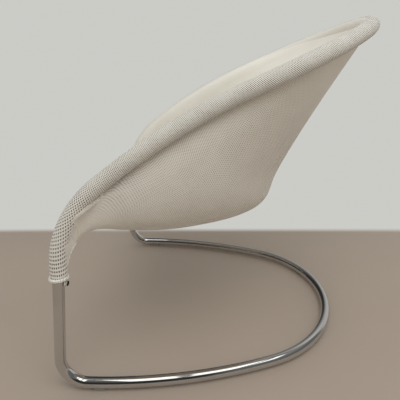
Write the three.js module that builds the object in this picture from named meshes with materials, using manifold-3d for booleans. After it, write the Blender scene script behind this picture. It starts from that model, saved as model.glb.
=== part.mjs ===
// Cantilever lounge chair. Millimetres, +Z up, the sitter faces -Y, and X runs across the seat.
// A bent chrome tube makes the floor loop and the two uprights. A second bent tube, padded with
// foam and sheathed in knit, makes the rim, and a knit basket hangs inside that rim.

import * as THREE from 'three';
import { mergeVertices } from 'three/addons/utils/BufferGeometryUtils.js';
import Module from 'manifold-3d';

const wasm = await Module();
wasm.setup();

// Floor loop and uprights
const BASE_TUBE_DIAMETER = 27;
const BASE_TUBE_WALL = 2;
const LEG_HALF_SPACING = 376;
const LEG_RAKE_DEG = 4.8;
const FOOT_BEND_RADIUS = 65;
const SIDE_SWEEP_RADIUS = 1260;
const SIDE_SWEEP_DEG = 21.5;
const FLOOR_CLEARANCE = 4.5;
const JOINT_HEIGHT = 330;

// Rim tube
const SEAT_TUBE_DIAMETER = 27;
const SEAT_TUBE_WALL = 2;
const SHOULDER_RISE = 14;
const SHOULDER_RADIUS = 262;
const ARM_START_DEG = 38.9;
const ARM_RADIUS = 1600;
const HEAD_SLOPE_DEG = 24.1;
const HEAD_REACH = 336;
const RIM_NARROWING = 50;

// Padding and sheath round the rim tube. Both run down past the joint, over the upright's top.
const FOAM_DIAMETER = 35;
const FOAM_END_DROP = 12;
const SLEEVE_FABRIC = 2.7;
const SLEEVE_END_DROP = 14;

// Rolled hem at each sleeve's lower end, and the cord loop that hooks it to the screw
const HEM_THICKNESS = 7;
const HEM_PROUD = 1.8;
const LOOP_CORD_DIAMETER = 2.2;
const LOOP_STRAIGHT = 3.8;

// Joint between upright and rim tube
const SPIGOT_WALL = 2.2;
const SPIGOT_BELOW = 68;
const SPIGOT_ABOVE = 11;
const SCREW_DIAMETER = 6;
const SCREW_HEAD_DIAMETER = 12;
const SCREW_HEAD_HEIGHT = 4.4;
const SCREW_TIP_PAST_NUT = 2;
const SPACER_WALL = 1.2;
const SPACER_LENGTH = 5;
const NUT_DIAMETER = 10;
const NUT_THICKNESS = 7;

// Glides under the floor loop
const GLIDE_LENGTH = 38;
const GLIDE_WIDTH = 16;
const GLIDE_RISE = 3;
const GLIDE_PEG_DIAMETER = 5;
const GLIDE_PEG_PAST_WALL = 2.5;
const FRONT_GLIDE_SETBACK = 27;
const REAR_GLIDE_SPREAD_DEG = 36;

// Knit basket
const BASKET_FABRIC = 5;
const BASKET_DEPTH = 228.5;
const FRONT_EDGE_RISE = 68;
const FRONT_EDGE_SAG = 42;
const FRONT_EDGE_SETBACK = 68;
const EDGE_FULLNESS_POWER = 1.6;
const SEAT_FULLNESS_POWER = 2.25;
const HEAD_FULLNESS_POWER = 2;

// Bound front edge of the basket
const FRONT_CORD_DIAMETER = 6.6;
const FRONT_HEM_FABRIC = 2.6;

// Centre line of the basket from the front edge to the head, as shares of the straight line
// between them and of the basket's depth below that line.
const BASKET_PROFILE_SHARES = [
  [0, 0],
  [0.107, 0.494],
  [0.226, 0.782],
  [0.329, 0.968],
  [0.41, 1],
  [0.491, 0.812],
  [0.604, 0.61],
  [0.761, 0.363],
  [0.993, 0.025],
];

// Share of the basket's length over which its front edge's shape turns into the seat's
const EDGE_BLEND_SHARE = 0.25;

// Button profile of the screw head, as shares of its radius and height
const SCREW_HEAD_SHARES = [
  [1, 0],
  [1, 0.27],
  [0.86, 0.6],
  [0.58, 0.86],
  [0, 1],
];

// Fits between neighbouring pieces
const FIT_GAP = 0.3;
const CUT_OVERRUN = 4;

// Facets
const TUBE_SIDES = 12;
const ROUND_SIDES = 12;
const FOOT_BEND_STEPS = 8;
const SIDE_SWEEP_STEPS = 6;
const REAR_ARC_STEPS = 12;
const SHOULDER_STEPS = 7;
const ARM_STEPS = 6;
const HEAD_STEPS = 13;
const BASKET_ACROSS = 20;
const BASKET_ALONG = 18;
const FRONT_HEM_STEPS = 10;
const HEM_SIDES = 8;
const HEM_STEPS = 24;
const LOOP_STEPS = 20;
const LOOP_SIDES = 6;
const GLIDE_END_STEPS = 8;

// Sizes that follow from the ones above
const rimHalfWidth = LEG_HALF_SPACING - RIM_NARROWING;
const baseRadius = BASE_TUBE_DIAMETER / 2;
const baseBore = baseRadius - BASE_TUBE_WALL;
const seatRadius = SEAT_TUBE_DIAMETER / 2;
const seatBore = seatRadius - SEAT_TUBE_WALL;
const runnerHeight = FLOOR_CLEARANCE + baseRadius;
const quarterTurn = Math.PI / 2;
const rake = THREE.MathUtils.degToRad(LEG_RAKE_DEG);
const sweep = THREE.MathUtils.degToRad(SIDE_SWEEP_DEG);
const armStart = THREE.MathUtils.degToRad(ARM_START_DEG);
const headSlope = THREE.MathUtils.degToRad(HEAD_SLOPE_DEG);
const rearSpread = THREE.MathUtils.degToRad(REAR_GLIDE_SPREAD_DEG);

// Radius of a facetted bore round a piece: one with the same facets, and one turned any way
const outside = (radius, sides) => radius + FIT_GAP / Math.cos(Math.PI / sides);
const clearOf = (radius, sides) => (radius + FIT_GAP) / Math.cos(Math.PI / sides);

const foamBore = outside(Math.max(baseRadius, seatRadius), TUBE_SIDES);
const foamRadius = FOAM_DIAMETER / 2;
const sleeveBore = outside(foamRadius, TUBE_SIDES);
const sleeveRadius = sleeveBore + SLEEVE_FABRIC;
const hemRadius = HEM_THICKNESS / 2;
const hemRingRadius = sleeveRadius - hemRadius + HEM_PROUD;
const screwRadius = SCREW_DIAMETER / 2;
const screwBore = clearOf(screwRadius, ROUND_SIDES);
const spacerRadius = screwBore + SPACER_WALL;
const loopRadius = LOOP_CORD_DIAMETER / 2;
const loopHalfWidth = clearOf(spacerRadius, ROUND_SIDES) + loopRadius;

// Distances along the leg from the foot corner, where the leg line meets the runner line
const jointAt = (JOINT_HEIGHT - runnerHeight) / Math.cos(rake);
const shoulderAt = jointAt + SHOULDER_RISE;
const sleeveEndAt = jointAt - SLEEVE_END_DROP;
const foamEndAt = jointAt - FOAM_END_DROP;
const hemAt = sleeveEndAt - FIT_GAP - hemRadius;
const loopTop = hemAt - hemRadius - FIT_GAP - loopRadius;
const screwAt = loopTop - loopHalfWidth - LOOP_STRAIGHT;

const material = {
  chrome: { color: 0xd9dbdd, roughness: 0.08, metalness: 1 },
  steel: { color: 0x8f9193, roughness: 0.4, metalness: 1 },
  blackSteel: { color: 0x17171a, roughness: 0.45, metalness: 0.8 },
  foam: { color: 0xc9c6bd, roughness: 1, metalness: 0 },
  knit: { color: 0xe6e2d5, roughness: 0.95, metalness: 0 },
  binding: { color: 0xece8dc, roughness: 0.9, metalness: 0 },
  nylon: { color: 0xe9e7e0, roughness: 0.5, metalness: 0 },
  clearPlastic: { color: 0xb9bcbb, roughness: 0.35, metalness: 0 },
};

const chair = new THREE.Group();

function addMesh(name, geometry, look, parent = chair) {
  const mesh = new THREE.Mesh(geometry, new THREE.MeshStandardMaterial(look));
  mesh.name = name;
  parent.add(mesh);
  return mesh;
}

// Booleans

function toSolid(geometry) {
  const bare = geometry.clone();
  bare.deleteAttribute('normal');
  bare.deleteAttribute('uv');
  const merged = mergeVertices(bare);
  return new wasm.Manifold(new wasm.Mesh({
    numProp: 3,
    vertProperties: new Float32Array(merged.attributes.position.array),
    triVerts: new Uint32Array(merged.index.array),
  }));
}

function toGeometry(solid) {
  const mesh = solid.getMesh();
  const geometry = new THREE.BufferGeometry();
  geometry.setAttribute('position', new THREE.BufferAttribute(mesh.vertProperties, 3));
  geometry.setIndex(new THREE.BufferAttribute(mesh.triVerts, 1));
  geometry.computeVertexNormals();
  return geometry;
}

function cut(geometry, ...cutters) {
  let solid = toSolid(geometry);
  for (const cutter of cutters) {
    solid = solid.subtract(toSolid(cutter));
  }
  return toGeometry(solid);
}

function join(...geometries) {
  let solid = toSolid(geometries[0]);
  for (const other of geometries.slice(1)) {
    solid = solid.add(toSolid(other));
  }
  return toGeometry(solid);
}

// The same piece on the other side of the chair
function mirrored(geometry) {
  const copy = geometry.index ? geometry.clone() : mergeVertices(geometry);
  copy.scale(-1, 1, 1);
  const index = copy.index.array;
  for (let i = 0; i < index.length; i += 3) {
    [index[i], index[i + 1]] = [index[i + 1], index[i]];
  }
  copy.computeVertexNormals();
  return copy;
}

// Swept tubes

// A route is a list of stations. Each has a point, the direction of travel there, and the two
// directions across the tube, so every tube that shares a station has its facets in line.
class Route extends THREE.Curve {
  constructor(stations) {
    super();
    this.stations = stations;
  }

  at(share) {
    return this.stations[Math.round(share * (this.stations.length - 1))];
  }

  getPointAt(share) {
    return this.at(share).point.clone();
  }

  getTangentAt(share) {
    return this.at(share).heading.clone();
  }

  computeFrenetFrames() {
    return {
      tangents: this.stations.map((station) => station.heading),
      normals: this.stations.map((station) => station.normal),
      binormals: this.stations.map((station) => station.binormal),
    };
  }
}

// Carries the first station's sideways direction along the route without twist
function withFrames(stations, firstNormal) {
  const normal = firstNormal.clone();
  let before = stations[0].heading;
  for (const station of stations) {
    normal.applyQuaternion(new THREE.Quaternion().setFromUnitVectors(before, station.heading));
    station.normal = normal.clone();
    station.binormal = station.heading.clone().cross(normal);
    before = station.heading;
  }
  return stations;
}

// A half route up to the middle of the chair, followed by its mirror image
function bothHalves(stations) {
  const flip = (vector) => new THREE.Vector3(-vector.x, vector.y, vector.z);
  const others = stations.slice(0, -1).reverse().map((station) => ({
    point: flip(station.point),
    heading: flip(station.heading).negate(),
    normal: flip(station.normal),
    binormal: flip(station.binormal),
  }));
  return [...stations, ...others];
}

const slide = (station, distance) => ({
  ...station,
  point: station.point.clone().addScaledVector(station.heading, distance),
});

// Walks along a bent tube, leaving a station at each step.
class TubeWalk {
  constructor(point, heading) {
    this.point = point.clone();
    this.heading = heading.clone();
    this.stations = [];
    this.mark();
  }

  mark() {
    this.stations.push({ point: this.point.clone(), heading: this.heading.clone() });
  }

  line(length) {
    this.point.addScaledVector(this.heading, length);
    this.mark();
  }

  bend(radius, angle, axis, steps) {
    const centre = this.point.clone().addScaledVector(axis.clone().cross(this.heading), radius);
    for (let i = 0; i < steps; i += 1) {
      this.heading.applyAxisAngle(axis, angle / steps);
      this.point.copy(centre).addScaledVector(axis.clone().cross(this.heading), -radius);
      this.mark();
    }
  }
}

function polygon(radius, sides) {
  const points = [];
  for (let i = 0; i < sides; i += 1) {
    const angle = (Math.PI * (2 * i + 1)) / sides;
    points.push(new THREE.Vector2(radius * Math.cos(angle), radius * Math.sin(angle)));
  }
  return points;
}

// A tube along the stations, solid where the bore is 0
function sweptTube(stations, radius, bore, sides) {
  const section = new THREE.Shape(polygon(radius, sides));
  if (bore > 0) {
    section.holes.push(new THREE.Path(polygon(bore, sides)));
  }
  return new THREE.ExtrudeGeometry(section, {
    steps: stations.length - 1,
    extrudePath: new Route(stations),
  });
}

// The leg line. Its frame has +Z up the leg and +Y to the rear, square to the leg.
const legHeading = new THREE.Vector3(0, Math.sin(rake), Math.cos(rake));
const footCorner = new THREE.Vector3(LEG_HALF_SPACING, 0, runnerHeight);
const legPoint = (distance) => footCorner.clone().addScaledVector(legHeading, distance);
const legStation = (distance) => ({ point: legPoint(distance), heading: legHeading.clone() });
const legLocalStation = (distance) => ({
  point: new THREE.Vector3(0, 0, distance),
  heading: new THREE.Vector3(0, 0, 1),
  normal: new THREE.Vector3(1, 0, 0),
  binormal: new THREE.Vector3(0, 1, 0),
});

function legFrame(side) {
  const frame = new THREE.Group();
  frame.position.set(side * footCorner.x, footCorner.y, footCorner.z);
  frame.rotation.x = -rake;
  chair.add(frame);
  return frame;
}

const leftLeg = legFrame(1);
const rightLeg = legFrame(-1);
leftLeg.updateMatrixWorld(true);
const legToChair = leftLeg.matrixWorld.clone();

// Floor loop, walked from the top of the left upright down and back to the middle of the rear
const up = new THREE.Vector3(0, 0, 1);
const across = new THREE.Vector3(1, 0, 0);
const footTurn = quarterTurn + rake;
const footTangent = FOOT_BEND_RADIUS * Math.tan(footTurn / 2);
const rearHalfWidth = LEG_HALF_SPACING - SIDE_SWEEP_RADIUS * (1 - Math.cos(sweep));
const rearRadius = rearHalfWidth / Math.cos(sweep);

const baseWalk = new TubeWalk(legPoint(jointAt), legHeading.clone().negate());
baseWalk.line(jointAt - footTangent);
baseWalk.bend(FOOT_BEND_RADIUS, footTurn, across, FOOT_BEND_STEPS);
const sweepStart = baseWalk.point.clone();
baseWalk.bend(SIDE_SWEEP_RADIUS, sweep, up, SIDE_SWEEP_STEPS);
baseWalk.bend(rearRadius, quarterTurn - sweep, up, REAR_ARC_STEPS);
const rearCentreDepth = baseWalk.point.y - rearRadius;
const baseStations = bothHalves(withFrames(baseWalk.stations, across));
const baseKeepOut = sweptTube(baseStations, outside(baseRadius, TUBE_SIDES), 0, TUBE_SIDES);

// A round pin square to the leg, out of its rear
function screwLine(radius, from, to) {
  const pin = new THREE.CylinderGeometry(radius, radius, to - from, ROUND_SIDES);
  pin.translate(0, (from + to) / 2, screwAt);
  return pin;
}

// A round pin that stands on the floor
function uprightPin(radius, from, to) {
  const pin = new THREE.CylinderGeometry(radius, radius, to - from, ROUND_SIDES);
  pin.rotateX(quarterTurn);
  pin.translate(0, 0, (from + to) / 2);
  return pin;
}

// Where each glide sits under the left half, and the direction of the tube there
const frontTurn = FRONT_GLIDE_SETBACK / SIDE_SWEEP_RADIUS;
const glideSpots = {
  front: {
    x: LEG_HALF_SPACING - SIDE_SWEEP_RADIUS * (1 - Math.cos(frontTurn)),
    y: sweepStart.y + SIDE_SWEEP_RADIUS * Math.sin(frontTurn),
    turn: quarterTurn + frontTurn,
  },
  rear: {
    x: rearRadius * Math.sin(rearSpread),
    y: rearCentreDepth + rearRadius * Math.cos(rearSpread),
    turn: Math.PI - rearSpread,
  },
};

function glidePlacement(spot) {
  return new THREE.Matrix4().makeRotationZ(spot.turn).setPosition(spot.x, spot.y, 0);
}

const pegRadius = GLIDE_PEG_DIAMETER / 2;
const pegTop = FLOOR_CLEARANCE + BASE_TUBE_WALL + GLIDE_PEG_PAST_WALL;

// A pad with round ends, hollowed to cradle the tube, and a peg that fits a hole in its wall
function glideGeometry(spot) {
  const endRadius = GLIDE_WIDTH / 2;
  const endCentre = GLIDE_LENGTH / 2 - endRadius;
  const outline = new THREE.Shape();
  outline.absarc(endCentre, 0, endRadius, -quarterTurn, quarterTurn, false);
  outline.absarc(-endCentre, 0, endRadius, quarterTurn, 3 * quarterTurn, false);
  const pad = new THREE.ExtrudeGeometry(outline, {
    depth: FLOOR_CLEARANCE + GLIDE_RISE,
    bevelEnabled: false,
    curveSegments: GLIDE_END_STEPS,
  });
  const tubeHere = baseKeepOut.clone().applyMatrix4(glidePlacement(spot).invert());
  return join(cut(pad, tubeHere), uprightPin(pegRadius, FLOOR_CLEARANCE / 2, pegTop));
}

const baseHoles = [];
const uprightHole = screwLine(screwBore, baseBore / 2, baseRadius + CUT_OVERRUN);
baseHoles.push(uprightHole.applyMatrix4(legToChair));
for (const spot of Object.values(glideSpots)) {
  const hole = uprightPin(clearOf(pegRadius, ROUND_SIDES), 0, pegTop + BASE_TUBE_WALL);
  baseHoles.push(hole.applyMatrix4(glidePlacement(spot)));
}
const baseTube = sweptTube(baseStations, baseRadius, baseBore, TUBE_SIDES);
addMesh('base_tube', cut(baseTube, ...baseHoles, ...baseHoles.map(mirrored)), material.chrome);

for (const [place, spot] of Object.entries(glideSpots)) {
  const geometry = glideGeometry(spot);
  const left = addMesh(`glide_${place}_left`, geometry, material.clearPlastic);
  left.position.set(spot.x, spot.y, 0);
  left.rotation.z = spot.turn;
  const right = addMesh(`glide_${place}_right`, mirrored(geometry), material.clearPlastic);
  right.position.set(-spot.x, spot.y, 0);
  right.rotation.z = -spot.turn;
}

// Joint hardware, the same on both legs, drawn in the leg's frame

function turnedRing(bore, radius, from, to) {
  const corners = [[bore, from], [radius, from], [radius, to], [bore, to], [bore, from]];
  return new THREE.LatheGeometry(corners.map(([r, h]) => new THREE.Vector2(r, h)), ROUND_SIDES);
}

const spigotRadius = Math.min(baseBore, seatBore) - FIT_GAP;
const spigotBore = spigotRadius - SPIGOT_WALL;
const spigotStations = [
  legLocalStation(jointAt - SPIGOT_BELOW),
  legLocalStation(jointAt + SPIGOT_ABOVE),
];
const spigotGeometry = cut(
  sweptTube(spigotStations, spigotRadius, spigotBore, TUBE_SIDES),
  screwLine(screwBore, spigotBore / 2, spigotRadius + CUT_OVERRUN),
);

const spacerBase = baseRadius + FIT_GAP;
const headBase = spacerBase + SPACER_LENGTH + FIT_GAP;
const nutRadius = NUT_DIAMETER / 2;
const nutRoom = spigotBore * Math.cos(Math.PI / TUBE_SIDES) - FIT_GAP;
const nutTop = Math.sqrt(nutRoom ** 2 - nutRadius ** 2);
const nutBase = nutTop - NUT_THICKNESS;
const screwTip = nutBase - SCREW_TIP_PAST_NUT;

const screwProfile = [
  new THREE.Vector2(0, screwTip),
  new THREE.Vector2(screwRadius, screwTip),
  new THREE.Vector2(screwRadius, headBase),
];
for (const [radiusShare, heightShare] of SCREW_HEAD_SHARES) {
  screwProfile.push(new THREE.Vector2(
    (radiusShare * SCREW_HEAD_DIAMETER) / 2,
    headBase + heightShare * SCREW_HEAD_HEIGHT,
  ));
}
const screwGeometry = new THREE.LatheGeometry(screwProfile, ROUND_SIDES);
const spacerGeometry = turnedRing(screwBore, spacerRadius, spacerBase, spacerBase + SPACER_LENGTH);
const nutGeometry = turnedRing(screwBore, nutRadius, nutBase, nutTop);

// Rolled hem below the sleeve's end
const hemGeometry = new THREE.TorusGeometry(hemRingRadius, hemRadius, HEM_SIDES, HEM_STEPS);

// Cord loop from under the hem, leaning in to pass round the spacer behind the screw head
class LoopPath extends THREE.Curve {
  getPoint(share) {
    const angle = 2 * Math.PI * share;
    const upper = Math.sin(angle) > 0 ? LOOP_STRAIGHT : 0;
    const height = upper + loopHalfWidth * Math.sin(angle);
    const lean = Math.max(height, 0) / (LOOP_STRAIGHT + loopHalfWidth);
    const inner = spacerBase + SPACER_LENGTH / 2;
    return new THREE.Vector3(
      loopHalfWidth * Math.cos(angle),
      THREE.MathUtils.lerp(inner, hemRingRadius, lean ** 3),
      height,
    );
  }
}

const loopGeometry = new THREE.TubeGeometry(new LoopPath(), LOOP_STEPS, loopRadius, LOOP_SIDES, true);

for (const [side, frame] of [['left', leftLeg], ['right', rightLeg]]) {
  addMesh(`leg_spigot_${side}`, spigotGeometry, material.steel, frame);
  addMesh(`lock_screw_${side}`, screwGeometry, material.blackSteel, frame).position.z = screwAt;
  addMesh(`screw_spacer_${side}`, spacerGeometry, material.nylon, frame).position.z = screwAt;
  addMesh(`spigot_nut_${side}`, nutGeometry, material.steel, frame).position.z = screwAt;
  addMesh(`hem_welt_${side}`, hemGeometry, material.binding, frame).position.z = hemAt;
  addMesh(`hem_loop_${side}`, loopGeometry, material.binding, frame).position.z = screwAt;
}

// Rim tube, from the joint up over the shoulder, along the arm and round the head

const legTurn = quarterTurn - rake;
const shoulderLength = SHOULDER_RADIUS * (legTurn - armStart);
const armLength = ARM_RADIUS * (armStart - headSlope);
const sideLength = shoulderLength + armLength;
const shoulderFoot = legPoint(shoulderAt);

// Place on the side of the rim, by distance from the shoulder's start
function sideStation(distance) {
  const onShoulder = Math.min(distance, shoulderLength);
  const onArm = distance - onShoulder;
  const shoulderPitch = legTurn - onShoulder / SHOULDER_RADIUS;
  const pitch = shoulderPitch - onArm / ARM_RADIUS;
  const y = shoulderFoot.y
    + SHOULDER_RADIUS * (Math.sin(legTurn) - Math.sin(shoulderPitch))
    + ARM_RADIUS * (Math.sin(shoulderPitch) - Math.sin(pitch));
  const z = shoulderFoot.z
    + SHOULDER_RADIUS * (Math.cos(shoulderPitch) - Math.cos(legTurn))
    + ARM_RADIUS * (Math.cos(pitch) - Math.cos(shoulderPitch));
  const share = distance / sideLength;
  const x = LEG_HALF_SPACING - RIM_NARROWING * THREE.MathUtils.smoothstep(share, 0, 1);
  const drift = (-RIM_NARROWING * 6 * share * (1 - share)) / sideLength;
  const heading = new THREE.Vector3(drift, Math.cos(pitch), Math.sin(pitch)).normalize();
  return { point: new THREE.Vector3(x, y, z), heading };
}

const headFoot = sideStation(sideLength).point;

// Place on the head's half ellipse, from a quarter turn at the arm to 0 at the top
function headStation(angle) {
  const reach = HEAD_REACH * Math.cos(angle);
  const rise = HEAD_REACH * Math.sin(angle);
  return {
    point: new THREE.Vector3(
      rimHalfWidth * Math.sin(angle),
      headFoot.y + reach * Math.cos(headSlope),
      headFoot.z + reach * Math.sin(headSlope),
    ),
    heading: new THREE.Vector3(
      -rimHalfWidth * Math.cos(angle),
      rise * Math.cos(headSlope),
      rise * Math.sin(headSlope),
    ).normalize(),
  };
}

const sideStations = [];
for (let i = 0; i <= SHOULDER_STEPS; i += 1) {
  sideStations.push(sideStation((shoulderLength * i) / SHOULDER_STEPS));
}
for (let i = 1; i <= ARM_STEPS; i += 1) {
  sideStations.push(sideStation(shoulderLength + (armLength * i) / ARM_STEPS));
}
const headStations = [];
for (let i = 1; i <= HEAD_STEPS; i += 1) {
  headStations.push(headStation(quarterTurn * (1 - i / HEAD_STEPS)));
}

// Stations of the left half, from a distance up the leg to the middle of the head
const rimFrom = (distance) => withFrames(
  [legStation(distance), ...sideStations, ...headStations],
  across,
);
const armEnd = sideStations.length;

const seatStations = bothHalves(rimFrom(jointAt + FIT_GAP));
addMesh('seat_tube', sweptTube(seatStations, seatRadius, seatBore, TUBE_SIDES), material.steel);

// Foam or sleeve, in three lengths that meet at the ends of the arms
function addRimLayer(name, radius, bore, from, look) {
  const half = rimFrom(from);
  const side = sweptTube(half.slice(0, armEnd + 1), radius, bore, TUBE_SIDES);
  const head = [slide(half[armEnd], FIT_GAP), ...half.slice(armEnd + 1)];
  addMesh(`${name}_left`, side, look);
  addMesh(`${name}_right`, mirrored(side), look);
  addMesh(`${name}_head`, sweptTube(bothHalves(head), radius, bore, TUBE_SIDES), look);
}

addRimLayer('rim_foam', foamRadius, foamBore, foamEndAt, material.foam);
addRimLayer('rim_sleeve', sleeveRadius, sleeveBore, sleeveEndAt, material.knit);

const sleeveKeepOut = sweptTube(
  bothHalves(rimFrom(sleeveEndAt)),
  outside(sleeveRadius, TUBE_SIDES),
  0,
  TUBE_SIDES,
);

// Knit basket

const edgePitch = Math.acos(Math.cos(legTurn) + FRONT_EDGE_RISE / SHOULDER_RADIUS);
const edgeDistance = SHOULDER_RADIUS * (legTurn - edgePitch);
const edgeSide = sideStation(edgeDistance).point;
const edgeMiddle = new THREE.Vector3(
  0,
  edgeSide.y + FRONT_EDGE_SETBACK,
  edgeSide.z - FRONT_EDGE_SAG,
);
const headMiddle = headStation(0).point;
const chord = headMiddle.clone().sub(edgeMiddle);
const chordDown = new THREE.Vector3(0, chord.z, -chord.y).normalize();
const centreLine = new THREE.CatmullRomCurve3(
  BASKET_PROFILE_SHARES.map(([along, depth]) => edgeMiddle.clone()
    .addScaledVector(chord, along)
    .addScaledVector(chordDown, depth * BASKET_DEPTH)),
  false,
  'catmullrom',
);

// Outer face of the basket. Across runs from -1 to 1 between the two sides of the rim, and
// along runs from 0 at the front edge to 1 at the head.
function basketPoint(acrossShare, alongShare) {
  const rim = sideStation(edgeDistance + (sideLength - edgeDistance) * alongShare).point;
  const middle = centreLine.getPoint(alongShare);
  const seatShare = THREE.MathUtils.smoothstep(alongShare, 0, EDGE_BLEND_SHARE);
  const seatFullness = THREE.MathUtils.lerp(EDGE_FULLNESS_POWER, SEAT_FULLNESS_POWER, seatShare);
  const fullness = THREE.MathUtils.lerp(seatFullness, HEAD_FULLNESS_POWER, alongShare ** 2);
  const angle = Math.abs(acrossShare) * quarterTurn;
  const out = Math.max(Math.sin(angle), 0) ** (2 / fullness);
  const down = Math.max(Math.cos(angle), 0) ** (2 / fullness);
  return new THREE.Vector3(
    Math.sign(acrossShare) * rim.x * out,
    THREE.MathUtils.lerp(rim.y, middle.y, down),
    THREE.MathUtils.lerp(rim.z, middle.z, down),
  );
}

// Direction from the outer face into the basket
function basketInward(acrossShare, alongShare) {
  const probe = 1 / (BASKET_ACROSS * BASKET_ALONG);
  const left = basketPoint(Math.max(acrossShare - probe, -1), alongShare);
  const right = basketPoint(Math.min(acrossShare + probe, 1), alongShare);
  const front = basketPoint(acrossShare, Math.max(alongShare - probe, 0));
  const back = basketPoint(acrossShare, Math.min(alongShare + probe, 1));
  return right.sub(left).cross(back.sub(front)).normalize();
}

// A closed sheet between the outer face and a copy of it moved inwards by the fabric's thickness
function sheetGeometry(columns, rows, thickness) {
  const positions = [];
  for (const layer of [0, 1]) {
    for (let row = 0; row <= rows; row += 1) {
      for (let column = 0; column <= columns; column += 1) {
        const acrossShare = (2 * column) / columns - 1;
        const alongShare = row / rows;
        const point = basketPoint(acrossShare, alongShare)
          .addScaledVector(basketInward(acrossShare, alongShare), layer * thickness);
        positions.push(point.x, point.y, point.z);
      }
    }
  }
  const at = (layer, row, column) => (layer * (rows + 1) + row) * (columns + 1) + column;
  const index = [];
  const face = (a, b, c, d) => index.push(a, b, c, a, c, d);
  for (let row = 0; row < rows; row += 1) {
    for (let column = 0; column < columns; column += 1) {
      face(at(0, row, column), at(0, row + 1, column), at(0, row + 1, column + 1), at(0, row, column + 1));
      face(at(1, row, column), at(1, row, column + 1), at(1, row + 1, column + 1), at(1, row + 1, column));
    }
    face(at(0, row, 0), at(1, row, 0), at(1, row + 1, 0), at(0, row + 1, 0));
    face(at(0, row, columns), at(0, row + 1, columns), at(1, row + 1, columns), at(1, row, columns));
  }
  for (let column = 0; column < columns; column += 1) {
    face(at(0, 0, column), at(0, 0, column + 1), at(1, 0, column + 1), at(1, 0, column));
    face(at(0, rows, column), at(1, rows, column), at(1, rows, column + 1), at(0, rows, column + 1));
  }
  const geometry = new THREE.BufferGeometry();
  geometry.setAttribute('position', new THREE.Float32BufferAttribute(positions, 3));
  geometry.setIndex(index);
  return geometry;
}

// Front hem: a fold of knit round a stiffening cord, along the middle of the fabric's front edge
const frontHalf = [];
for (let i = FRONT_HEM_STEPS; i >= 0; i -= 1) {
  const acrossShare = i / FRONT_HEM_STEPS;
  const probe = 1 / FRONT_HEM_STEPS ** 3;
  const outer = basketPoint(Math.min(acrossShare + probe, 1), 0);
  const inner = basketPoint(acrossShare - probe, 0);
  const point = basketPoint(acrossShare, 0)
    .addScaledVector(basketInward(acrossShare, 0), BASKET_FABRIC / 2);
  frontHalf.push({ point, heading: inner.sub(outer).normalize() });
}
const frontStart = frontHalf[0].heading;
const frontSideways = frontStart.clone().cross(basketInward(1, 0)).normalize();
const frontStations = bothHalves(withFrames(frontHalf, frontSideways));
const frontCordRadius = FRONT_CORD_DIAMETER / 2;
const frontHemBore = outside(frontCordRadius, HEM_SIDES);
const frontHemRadius = frontHemBore + FRONT_HEM_FABRIC;
const frontHem = sweptTube(frontStations, frontHemRadius, frontHemBore, HEM_SIDES);
const frontCord = sweptTube(frontStations, frontCordRadius, 0, HEM_SIDES);
const frontKeepOut = sweptTube(frontStations, outside(frontHemRadius, HEM_SIDES), 0, HEM_SIDES);
addMesh('front_hem', cut(frontHem, sleeveKeepOut), material.binding);
addMesh('front_hem_cord', cut(frontCord, sleeveKeepOut), material.nylon);

const basketSheet = sheetGeometry(BASKET_ACROSS, BASKET_ALONG, BASKET_FABRIC);
addMesh('basket', cut(basketSheet, sleeveKeepOut, frontKeepOut), material.knit);

// Centre the chair over the origin, front to back
const overall = new THREE.Box3().setFromObject(chair);
chair.position.y = -(overall.min.y + overall.max.y) / 2;

export default chair;
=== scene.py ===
"""Cantilever lounge chair: a chrome floor loop, a padded knit rim and a knit bucket seat.

The sitter faces -Y, +X is the sitter's left and +Z is up. Lengths are in metres.
"""

import logging
import math
from dataclasses import dataclass, field, replace
from enum import Enum
from functools import cached_property
from typing import Callable, Iterable, Sequence

import bmesh
import bpy
import numpy as np
from mathutils import Matrix, Quaternion, Vector


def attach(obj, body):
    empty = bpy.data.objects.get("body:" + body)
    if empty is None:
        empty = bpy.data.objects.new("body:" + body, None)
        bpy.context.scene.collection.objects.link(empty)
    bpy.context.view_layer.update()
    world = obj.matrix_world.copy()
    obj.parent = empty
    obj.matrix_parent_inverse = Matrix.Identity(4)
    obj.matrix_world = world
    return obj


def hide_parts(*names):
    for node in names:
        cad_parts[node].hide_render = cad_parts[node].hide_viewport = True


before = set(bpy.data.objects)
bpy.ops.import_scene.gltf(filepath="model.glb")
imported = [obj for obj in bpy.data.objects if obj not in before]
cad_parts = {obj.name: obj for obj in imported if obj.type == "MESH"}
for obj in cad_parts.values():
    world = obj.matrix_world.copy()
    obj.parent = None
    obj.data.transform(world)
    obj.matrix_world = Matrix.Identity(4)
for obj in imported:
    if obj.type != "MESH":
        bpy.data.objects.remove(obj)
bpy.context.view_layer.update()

BODY = "root"
MM = 0.001
MERGE = 0.02 * MM
SHARP_TURN = math.radians(35)
PUFF_PRESSURE = 4
PUFF_FRAMES = 20
LAY_SAMPLES = 800
KNIT_LAYERS = ("wale", "course")
UP = Vector((0, 0, 1))
ACROSS = Vector((1, 0, 0))
Colour = tuple[float, float, float]
Piece = bpy.types.Object
Socket = bpy.types.NodeSocket

log = logging.getLogger("lounge_chair")


class Hand(Enum):
    """A side of the chair, as the sitter has it."""

    LEFT = 1
    RIGHT = -1

    @property
    def label(self) -> str:
        """The word for this side in piece and node names."""
        return self.name.lower()

    @property
    def flip(self) -> Matrix:
        """The matrix that carries the left side's shape to this side."""
        return Matrix.Diagonal((self.value, 1, 1, 1))


# Curves


def rise(value: float | np.ndarray, low: float, high: float) -> float | np.ndarray:
    """0 up to low, 1 from high, and a smooth rise between them."""
    share = np.clip((value - low) / (high - low), 0, 1)
    return share * share * (3 - 2 * share)


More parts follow.
